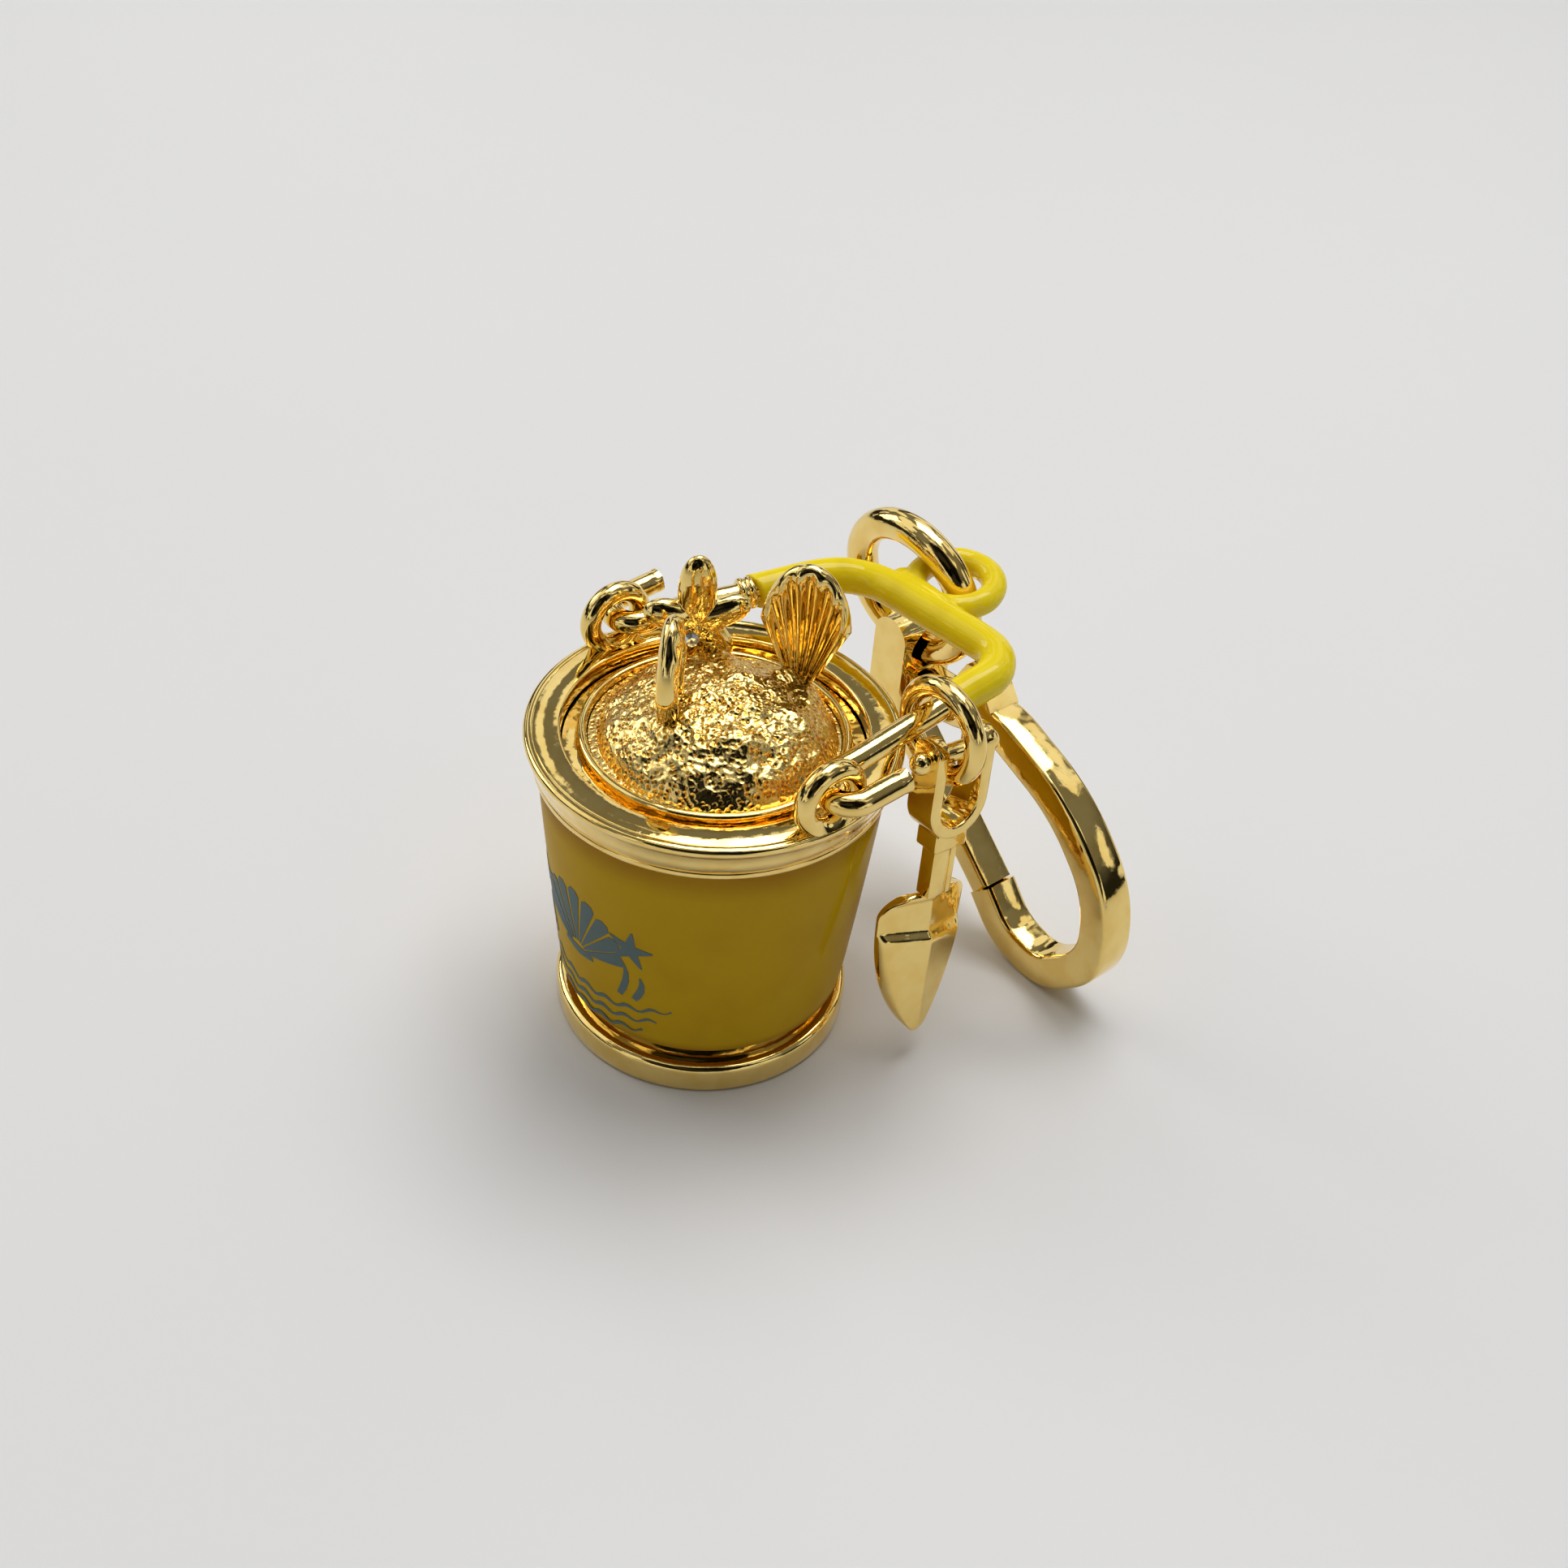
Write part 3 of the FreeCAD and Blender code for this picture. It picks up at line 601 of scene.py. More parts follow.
    @staticmethod
    def sheet(
        name: str, across: int, along: int, shape: Callable[[float, float], Vector]
    ) -> bpy.types.Object:
        """A grid laid on a surface.

        Args:
            name: The piece's name.
            across: Divisions across.
            along: Divisions along.
            shape: The surface's point, in millimetres, for two numbers from 0 to 1.

        Returns:
            The open sheet.
        """
        Bench.clear()
        bpy.ops.mesh.primitive_grid_add(x_subdivisions=across, y_subdivisions=along, size=1)
        piece = bpy.context.object
        for vertex in piece.data.vertices:
            vertex.co = shape(vertex.co.x + 0.5, vertex.co.y + 0.5) * MM
        return Bench.settle(piece, name)


@dataclass
class Route:
    """A path of straight runs joined by tangent arcs, in millimetres."""

    corners: Sequence[Vector]
    share: float = 0.45
    full: Sequence[int] = ()
    steps: int = 16
    end_handle: float = 0.1
    arc_handle: float = 0.2
    same_point: float = 0.01

    def knots(self) -> list[tuple[Vector, Vector, Vector]]:
        """Bezier points as (handle before, point, handle after).

        Corners listed in full take half of the shorter run, so that two of them in a row make
        one unbroken bend. Where two arcs meet, they share one point.
        """
        first, second = self.corners[0], self.corners[1]
        away = (second - first) * self.end_handle
        out = [(first - away, first, first + away)]
        for place, corner in enumerate(self.corners[1:-1], start=1):
            back, ahead = self.corners[place - 1] - corner, self.corners[place + 1] - corner
            cut = (0.5 if place in self.full else self.share) * min(back.length, ahead.length)
            back.normalize()
            ahead.normalize()
            half = back.angle(ahead) / 2
            radius = cut * math.tan(half)
            reach = 4 / 3 * math.tan((math.pi - 2 * half) / 4) * radius
            enter, leave = corner + back * cut, corner + ahead * cut
            lead = enter + back * self.arc_handle
            if (out[-1][1] - enter).length < self.same_point:
                lead = out.pop()[0]
            out.append((lead, enter, enter - back * reach))
            out.append((leave - ahead * reach, leave, leave + ahead * self.arc_handle))
        last = self.corners[-1]
        if (out[-1][1] - last).length > self.same_point:
            away = (last - self.corners[-2]) * self.end_handle
            out.append((last - away, last, last + away))
        return out

    def bar(self, name: str, radius: float, sides: int = 10) -> bpy.types.Object:
        """A round bar along the path, with closed ends."""
        return self._swept(name, radius, sides, None)

    def band(self, name: str, section: Sequence[Pair]) -> bpy.types.Object:
        """A band along a path in the XZ plane, with a flat-sided section.

        Args:
            name: The piece's name.
            section: The section's corners as (across the path's plane, outwards) pairs.

        Returns:
            The band with closed ends.
        """
        return self._swept(name, 0.0, 1, section)

    def _swept(
        self, name: str, radius: float, sides: int, section: Sequence[Pair] | None
    ) -> bpy.types.Object:
        """Sweep a round or flat-sided section along the path."""
        Bench.clear()
        bpy.ops.curve.primitive_bezier_curve_add()
        curve = bpy.context.object.data
        flat = section is not None
        curve.dimensions = "2D" if flat else "3D"
        curve.resolution_u = self.steps
        knots = self.knots()
        curve.splines[0].bezier_points.add(len(knots) - 2)
        for point, (before, here, after) in zip(curve.splines[0].bezier_points, knots):
            point.handle_left_type = point.handle_right_type = "FREE"
            for name_of, place in (("handle_left", before), ("co", here), ("handle_right", after)):
                at = Vector((place.x, place.z, 0)) if flat else place
                setattr(point, name_of, at * MM)
        rail = bpy.context.object
        if flat:
            bpy.ops.curve.primitive_nurbs_path_add()
            rib = bpy.context.object
            rib.data.splines.clear()
            rib.data.dimensions = "2D"
            spline = rib.data.splines.new("POLY")
            spline.points.add(len(section) - 1)
            for point, (across, out) in zip(spline.points, section):
                point.co = (out * MM, across * MM, 0, 1)
            spline.use_cyclic_u = True
            curve.bevel_mode = "OBJECT"
            curve.bevel_object = rib
        else:
            curve.bevel_depth = radius * MM
            curve.bevel_resolution = sides
        Bench.take(rail)
        bpy.ops.object.convert(target="MESH")
        if flat:
            bpy.data.objects.remove(rib, do_unlink=True)
            rail.rotation_euler = (math.pi / 2, 0, 0)
        piece = Bench.settle(bpy.context.object, name)
        Bench.close(piece)
        Bench.outward(piece)
        return piece


def rounded_section(width: float, depth: float, edge: float, steps: int = 3) -> list[Pair]:
    """The corners of a rectangle with rounded edges, in order, as (across, out) pairs."""
    out: list[Pair] = []
    for quarter, (a, b) in enumerate(((1, 1), (-1, 1), (-1, -1), (1, -1))):
        for k in range(steps + 1):
            angle = math.radians(90 * (quarter + k / steps))
            out.append(
                (
                    a * (width / 2 - edge) + edge * math.cos(angle),
                    b * (depth / 2 - edge) + edge * math.sin(angle),
                )
            )
    return out


def placed(piece: bpy.types.Object, matrix: Matrix) -> bpy.types.Object:
    """Carry a piece, whose place is in its mesh, to a place given in millimetres."""
    shift = matrix.copy()
    shift.translation = matrix.translation * MM
    piece.data.transform(shift)
    return piece


def turn(axis: Triple, degrees: float) -> Matrix:
    """A turn about an axis."""
    return Matrix.Rotation(math.radians(degrees), 4, Vector(axis))


@dataclass
class Assembly:
    """A group of pieces that ride on one body."""

    body: str

    def fit(self, piece: bpy.types.Object, finish: Finish, *nodes: str) -> None:
        """Dress a finished piece, let it ride, and hide the CAD nodes it stands for.

        Args:
            piece: The finished piece.
            finish: What it is made of.
            nodes: The CAD nodes it stands for, if any.
        """
        piece.data.materials.clear()
        piece.data.materials.append(finish.material())
        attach(piece, self.body)
        if nodes:
            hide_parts(*nodes)
        LOG.info("%s rides on %s, %d faces", piece.name, self.body, len(piece.data.polygons))


@dataclass
class Ring(Assembly):
    """A round ring of bent wire whose two ends meet in a fine seam."""

    name: str
    node: str
    centre: Triple
    axis: Triple
    radius: float
    wire: float
    seam: float
    gap: float = 0.5
    sides: int = 40
    steps: int = 180

    def build(self) -> None:
        """Bend the ring, close its two ends and dress it."""
        Bench.clear()
        bpy.ops.mesh.primitive_circle_add(
            vertices=self.sides, radius=self.wire * MM, location=(self.radius * MM, 0, 0),
            rotation=(math.pi / 2, 0, 0),
        )
        bpy.ops.object.transform_apply(location=True, rotation=True, scale=True)
        bpy.ops.object.mode_set(mode="EDIT")
        bpy.ops.mesh.select_all(action="SELECT")
        bent = 2 * math.pi - math.radians(self.gap)
        bpy.ops.mesh.spin(steps=self.steps, angle=bent, center=(0, 0, 0), axis=(0, 0, 1))
        bpy.ops.object.mode_set(mode="OBJECT")
        piece = Bench.settle(bpy.context.object, self.name)
        Bench.close(piece)
        Bench.outward(piece, 0.0005)
        Bench.bevel(piece, 0.03, 2, 60)
        Bench.smooth(piece)
        square = Vector(self.axis).to_track_quat("Z", "Y").to_matrix().to_4x4()
        placed(piece, Matrix.Translation(self.centre) @ square @ turn((0, 0, 1), self.seam))
        self.fit(piece, Finish.GOLD, self.node)


# ---- pail ------------------------------------------------------------------------------------


@dataclass
class Pail(Assembly):
    """Cup, foot ring, enamel wall, rim and the two lugs."""

    body: str = "pail"
    height: float = 19.1
    wall_low: float = 2.9
    wall_top: float = 16.85
    low_radius: float = 8.1
    top_radius: float = 9.35
    enamel: float = 0.7
    lug_reach: float = 9.2
    pivot_height: float = 20.6
    lug_radius: float = 1.6
    lug_wire: float = 0.575

    def build(self) -> None:
        """Build and dress every piece of the pail."""
        self._cup()
        self._foot()
        self._wall()
        self._rim()
        for name, side in (("lug_near_loop", 1), ("lug_far_loop", -1)):
            self._lug(name, side)

    def _cup(self) -> None:
        """The metal cup, whose foot shows as a bare groove under the enamel."""
        inner_low, inner_top = self.low_radius - self.enamel, self.top_radius - self.enamel
        wall = 0.55
        outline = [
            (0.0, 0.0), (inner_low - 0.2, 0.0), (inner_low, 0.2), (inner_low, self.wall_low),
            (inner_top, self.wall_top), (inner_top, 18.3), (inner_top - wall, 18.3),
            (inner_top - wall, self.wall_top), (inner_low - wall, self.wall_low),
            (inner_low - wall, 0.8), (0.0, 0.8),
        ]
        piece = Bench.turned("cup", outline)
        Bench.smooth(piece)
        self.fit(piece, Finish.GOLD, "pail_cup")

    def _foot(self) -> None:
        """The foot ring with its rounded edges and the fine line above them."""
        inner = self.low_radius - self.enamel
        outline = [
            (inner, 0.0), (8.05, 0.0), (8.22, 0.06), (8.31, 0.24), (8.31, 1.42), (8.27, 1.6),
            (8.15, 1.74), (7.98, 1.8), (inner, 1.8), (inner, 0.0),
        ]
        piece = Bench.turned("foot_ring_turned", outline)
        Bench.bevel(piece, 0.05, 2, 50)
        Bench.smooth(piece, 40)
        self.fit(piece, Finish.GOLD, "foot_ring")

    def _wall(self) -> None:
        """The enamel, drawn in a little where it meets the metal."""
        inner_low, inner_top = self.low_radius - self.enamel, self.top_radius - self.enamel
        rise = self.wall_top - self.wall_low
        outline = [(inner_low, self.wall_low), (self.low_radius - 0.22, self.wall_low)]
        for k in range(13):
            share = k / 12
            swell = 0.05 * math.sin(math.pi * share)
            drawn = 0.06 * math.exp(-share * 30) + 0.05 * math.exp((share - 1) * 30)
            radius = self.low_radius + (self.top_radius - self.low_radius) * share
            outline.append((radius - 0.05 + swell - drawn, self.wall_low + 0.08 + (rise - 0.1) * share))
        outline += [(inner_top, self.wall_top), (inner_low, self.wall_low)]
        piece = Bench.turned("enamel_coat", outline, 200)
        Bench.smooth(piece, 45)
        self.fit(piece, Finish.OLIVE, "enamel_wall")

    def _rim(self) -> None:
        """The rim: rounded crown, incised line, flat top and inner ledge."""
        inner = self.top_radius - self.enamel
        outline = [
            (inner, self.wall_top), (9.42, self.wall_top), (9.5, 16.9), (9.53, 17.02), (9.54, 17.2),
            (9.49, 17.25), (9.5, 17.32), (9.57, 17.38), (9.66, 17.9), (9.78, 18.4),
            (9.9, 18.62), (9.97, 18.74), (9.99, 18.86), (9.95, 18.98), (9.86, 19.06), (9.74, 19.1),
            (9.55, 19.1), (9.5, 19.07), (9.44, 19.1), (8.2, 19.1), (8.1, 19.06), (8.05, 18.98),
            (8.05, 18.3), (inner, 18.3), (inner, self.wall_top),
        ]
        piece = Bench.turned("rim", outline, 220)
        Bench.smooth(piece, 50)
        self.fit(piece, Finish.GOLD, "rim_band")

    def _lug(self, name: str, side: int) -> None:
        """A half-sunk ring with a little solder round its feet."""
        centre = Vector((side * self.lug_reach, 0, self.pivot_height))
        Bench.clear()
        bpy.ops.mesh.primitive_torus_add(
            major_segments=120, minor_segments=36, major_radius=self.lug_radius * MM,
            minor_radius=self.lug_wire * MM, location=centre * MM, rotation=(0, math.pi / 2, 0),
        )
        piece = Bench.settle(bpy.context.object, name)
        Bench.outward(piece)
        Bench.trim(piece, Vector((0, 0, self.height - 0.02)), Vector((0, 0, 1)), lambda point: True)
        for vertex in piece.data.vertices:
            low = max(0.0, 1 - (vertex.co.z / MM - self.height) / 0.45)
            middle = side * self.lug_reach * MM
            vertex.co.x = middle + (vertex.co.x - middle) * (1 + 0.18 * low * low)
        Bench.outward(piece)
        Bench.smooth(piece, 60)
        self.fit(piece, Finish.GOLD, name.replace("_loop", ""))


@dataclass
class Print(Assembly):
    """The grey-blue seaside motif printed on the front of the wall."""

    body: str = "pail"
    front: float = -90.0
    lift: float = 0.012
    film: float = 0.01
    wall_low: float = 2.98
    wall_rise: float = 13.85
    wall_radius: float = 8.05
    wall_flare: float = 1.25
    strokes: list[tuple[list[Pair], list[float]]] = field(default_factory=list)

    def build(self) -> None:
        """Draw the shell, two starfish, weed and waves, and lay them on the wall."""
        self._shell((0.0, 7.6), 4.6)
        for side in (-1, 1):
            self._star((side * 3.9, 10.2), 1.35, side * 9)
            self._sprig(side)
        self._waves()
        parts = [self._stroke(points, widths) for points, widths in self.strokes]
        piece = Bench.join("seaside_print", parts)
        Bench.outward(piece, 0.0001)
        Bench.modify(piece, "SOLIDIFY", thickness=self.film * MM, offset=1.0)
        Bench.smooth(piece, 30)
        self.fit(piece, Finish.INK)

    def _on_wall(self, across: float, height: float, lift: float) -> Vector:
        """A point of the drawing laid on the sloping wall."""
        share = (height - self.wall_low) / self.wall_rise
        swell = 0.05 * math.sin(math.pi * share)
        radius = self.wall_radius + self.wall_flare * share + swell + lift
        angle = math.radians(self.front) + across / radius
        return Vector((radius * math.cos(angle), radius * math.sin(angle), height))

    def _stroke(self, points: list[Pair], widths: list[float]) -> bpy.types.Object:
        """A ribbon of ink along points, with a width at each."""
        steps = 4 * (len(points) - 1)

        def surface(side: float, along: float) -> Vector:
            """A point of the ribbon."""
            place = min(along * (len(points) - 1), len(points) - 1.0001)
            k = int(place)
            share = place - k
            (x0, z0), (x1, z1) = points[k], points[k + 1]
            width = widths[k] * (1 - share) + widths[k + 1] * share
            length = math.hypot(x1 - x0, z1 - z0) or 1.0
            out = (side - 0.5) * width
            across = x0 + (x1 - x0) * share + (z1 - z0) / length * out
            height = z0 + (z1 - z0) * share - (x1 - x0) / length * out
            return self._on_wall(across, height, self.lift)

        return Bench.sheet("ink", 3, steps, surface)

    def _shell(self, hinge: Pair, tall: float) -> None:
        """A fan of tapered ribs over a small hinge."""
        for k in range(-4, 5):
            angle = math.radians(16.5 * k)
            reach = tall * (1 - 0.012 * k * k)
            ends = [
                (hinge[0] + math.sin(angle) * t, hinge[1] + math.cos(angle) * t)
                for t in (0.7, reach * 0.6, reach * 0.93, reach)
            ]
            self.strokes.append((ends, [0.12, 0.62, 0.98, 0.45]))
        foot = [(hinge[0] - 1.25, hinge[1] + 0.1), hinge, (hinge[0] + 1.25, hinge[1] + 0.1)]
        self.strokes.append((foot, [0.3, 0.6, 0.3]))

    def _star(self, centre: Pair, reach: float, tilt: float) -> None:
        """A five-armed starfish."""
        for k in range(5):
            angle = math.radians(72 * k + tilt)
            tip = (centre[0] + math.sin(angle) * reach, centre[1] + math.cos(angle) * reach)
            self.strokes.append(([centre, tip], [reach * 0.62, 0.12]))

    def _sprig(self, side: int) -> None:
        """A bending blade of weed beside the shell."""
        for lean, tall in ((0.0, 2.6), (0.9, 1.9)):
            points = [
                (side * (3.0 + lean + 0.55 * math.sin(t * 2.1)), 6.3 + tall * t)
                for t in (0, 0.25, 0.5, 0.75, 1.0)
            ]
            self.strokes.append((points, [0.34, 0.42, 0.4, 0.3, 0.1]))

    def _waves(self) -> None:
        """Three rows of waves that sag towards the middle."""
        for row in range(3):
            points, widths = [], []
            half = 6.0 - 0.9 * row
            for k in range(49):
                x = -half + 2 * half * k / 48
                sag = 0.030 * x * x
                points.append((x, 5.1 - 0.85 * row + sag * 0.9 + 0.16 * math.sin(x * 4.2 + row)))
                widths.append(0.1 + 0.16 * (1 - (x / half) ** 2) + 0.06 * math.sin(x * 4.2 + row))
            self.strokes.append((points, widths))


# ---- sand garden -------------------------------------------------------------------------------


@dataclass
class SandGarden(Assembly):
    """The cast sand, its two shells, the starfish and its stone."""

    body: str = "pail"
    level: float = 18.5
    reach: float = 6.62
    # each lump's x, y, radius and height
    lumps: tuple[tuple[float, float, float, float], ...] = (
        (0.25, 0.0, 6.3, 2.75), (3.2, 2.4, 1.9, 2.2), (3.3, -0.9, 1.9, 2.3), (0.9, -2.6, 2.4, 2.55),
        (0.0, 5.0, 2.0, 1.7), (-4.4, 2.4, 1.8, 1.9), (0.6, 0.8, 3.6, 2.75),
    )

    def build(self) -> None:
        """Build and dress every piece of the garden."""
        self._tray()
        self._mound()
        right = Matrix.Translation((-0.1, 5.7, 18.7)) @ turn((0, 0, 1), 38) @ turn((1, 0, 0), -3)
        left = Matrix.Translation((-0.6, -2.6, 18.7)) @ turn((0, 0, 1), 138) @ turn((0, 1, 0), -4)
        self._scallop("scallop_right_cast", right, "scallop_right")
        self._scallop("scallop_left_cast", left, "scallop_left")
        self._starfish()

    def _tray(self) -> None:
        """The slightly uneven flange and its raised bead."""
        outline = [
            (0.0, 17.3), (7.95, 17.3), (8.03, 17.38), (8.03, 18.02), (7.97, 18.1), (7.34, 18.1),
            (7.24, 18.14), (7.2, 18.24), (7.2, 18.74), (7.14, 18.88), (7.02, 18.95), (6.88, 18.95),
            (6.76, 18.88), (6.7, 18.74), (6.7, 18.56), (6.64, 18.5), (0.0, 18.5),
        ]
        piece = Bench.turned("sand_tray", outline, 240)
        for vertex in piece.data.vertices:
            radius = math.hypot(vertex.co.x, vertex.co.y) / MM
            if radius > 7.3 and vertex.co.z > 18.0 * MM:
                spin = math.atan2(vertex.co.y, vertex.co.x)
                vertex.co.z += 0.05 * MM * noise.noise(Vector((spin * 26, radius, 4.0)))
        Bench.smooth(piece, 45)
        self.fit(piece, Finish.GOLD, "sand_insert")

    def _height(self, x: float, y: float) -> float:
        """Height of the sand over its floor, lumps blended smoothly, grains added."""
        total = 0.0
        for cx, cy, radius, tall in self.lumps:
            away = ((x - cx) ** 2 + (y - cy) ** 2) / radius**2
            rise = tall * max(0.0, 1 - away) ** 0.6
            total = (total**5 + rise**5) ** 0.2
        edge = min(1.0, max(0.0, (self.reach - math.hypot(x, y)) / 0.7))
        place = Vector((x, y, total * 0.9))
        coarse = noise.noise(place * 0.8) * 0.30 + noise.noise(place * 1.9 + Vector((7, 3, 1))) * 0.12
        grain = 0.11 * min(1.0, noise.voronoi(place * 3.4)[0][0] * 1.8)
        return (total + coarse * min(1.0, total)) * edge**0.5 + grain * (0.35 + 0.65 * edge)

    def _mound(self) -> None:
        """The heap of sand, closed underneath."""

        def surface(turned: float, outwards: float) -> Vector:
            """A point of the heap's top."""
            radius = self.reach * outwards
            angle = 2 * math.pi * turned
            x, y = radius * math.cos(angle), radius * math.sin(angle)
            return Vector((x, y, self.level + 0.04 + self._height(x, y)))

        piece = Bench.sheet("sand_heap", 260, 110, surface)
        Bench.outward(piece, 0.004)
        Bench.close(piece)
        Bench.outward(piece, 0.0005)
        Bench.smooth(piece, 70)
        self.fit(piece, Finish.SAND, "sand_mound")

    def _scallop(self, name: str, place: Matrix, node: str) -> None:
        """A scallop shell: ribbed and hollow on one side, smooth and thick at its lip."""
        tall, wide, thick = 8.0, 5.2, 1.1

        def side(face: int) -> Callable[[float, float], Vector]:
            """The front or back surface of the shell."""

            def surface(across: float, up: float) -> Vector:
                """A point of one face."""
                fan = (across - 0.5) * 2
                spread = math.radians(74) * fan
                reach = up * (1 - 0.06 * fan * fan)
                x = math.sin(spread) * wide * 0.52 * reach**0.85
                z = tall * reach * (0.42 + 0.58 * math.cos(spread)) + 0.1
                rim = min(1.0, (1 - up) / 0.14, (1 - abs(fan)) / 0.16)
                lip = math.sqrt(max(0.0, 1 - (1 - max(0.0, rim)) ** 2))
                rib = 0.17 * math.cos(fan * math.pi * 6) * lip * min(1.0, up * 2) * (1 - up**10)
                hollow = 0.45 * math.sin(math.pi * min(1.0, up * 1.05)) * (1 - fan * fan) * lip
                depth = thick / 2 * lip
                if face > 0:
                    return Vector((x, depth + 0.05 * rib, z))
                return Vector((x, -depth + hollow + rib, z))

            return surface

        front = Bench.sheet(name, 90, 60, side(-1))
        back = Bench.sheet(name + "_back", 90, 60, side(1))
        piece = Bench.join(name, [front, back])
        Bench.outward(piece, 0.01)
        Bench.modify(piece, "SMOOTH", factor=0.5, iterations=2)
        Bench.smooth(piece, 80)
        placed(piece, place)
        self.fit(piece, Finish.GOLD, node)

    def _starfish(self) -> None:
        """A starfish with a row of beads along each arm, and its stone."""
        arms = ((90, 4.05, 0.98), (162, 3.0, 0.86), (234, 2.9, 0.82), (306, 3.1, 0.86), (18, 3.1, 0.84))
        place = Matrix.Translation((-5.0, 2.3, 22.0)) @ turn((0, 0, 1), 63)
        parts = []
        for degrees, reach, girth in arms:
            angle = math.radians(degrees)
            along = Vector((math.cos(angle), 0, math.sin(angle)))
            Bench.clear()
            bpy.ops.mesh.primitive_uv_sphere_add(segments=32, ring_count=20, radius=MM)
            arm = Bench.settle(bpy.context.object, "arm")
            for vertex in arm.data.vertices:
                x, y, z = vertex.co / MM
                far = (z + 1) / 2
                belly = (1 - abs(2 * far - 1) ** 2.6) ** 0.5 / max(0.05, (1 - z * z) ** 0.5)
                waist = girth * (1.12 - 0.10 * far) * belly
                sideways = Vector((along.z, 0, -along.x))
                point = along * (far * reach - 0.3 * (1 - far)) + sideways * x * waist
                point += Vector((0, y * (0.78 - 0.16 * far) * belly, 0))
                vertex.co = point * MM
            parts.append(arm)
        for degrees, reach, girth in arms:
            angle = math.radians(degrees)
            for k in range(1, 5):
                share = 0.18 + 0.17 * k
                Bench.clear()
                bpy.ops.mesh.primitive_ico_sphere_add(
                    subdivisions=2,
                    radius=0.15 * MM,
                    location=(
                        math.cos(angle) * reach * share * MM,
                        (-0.6 + 0.05 * k) * MM,
                        math.sin(angle) * reach * share * MM,
                    ),
                )
                parts.append(Bench.settle(bpy.context.object, "bead"))
        piece = Bench.join("starfish_cast", parts)
        Bench.modify(piece, "REMESH", mode="VOXEL", voxel_size=0.05 * MM)
        Bench.modify(piece, "SMOOTH", factor=0.5, iterations=3)
        Bench.smooth(piece, 180)
        placed(piece, place)
        self.fit(piece, Finish.GOLD, "starfish")
        self._stone(place)

    def _stone(self, place: Matrix) -> None:
        """A clear stone cut with eight sides."""
        outline = [(0.0, -0.1), (0.2, -0.1), (0.45, 0.12), (0.45, 0.2), (0.3, 0.36), (0.0, 0.36)]
        piece = Bench.turned("stone", outline, 8)
        placed(piece, place @ Matrix.Translation((-0.35, -0.62, -0.75)) @ turn((1, 0, 0), 90))
        self.fit(piece, Finish.STONE, "crystal")


# ---- bail --------------------------------------------------------------------------------------


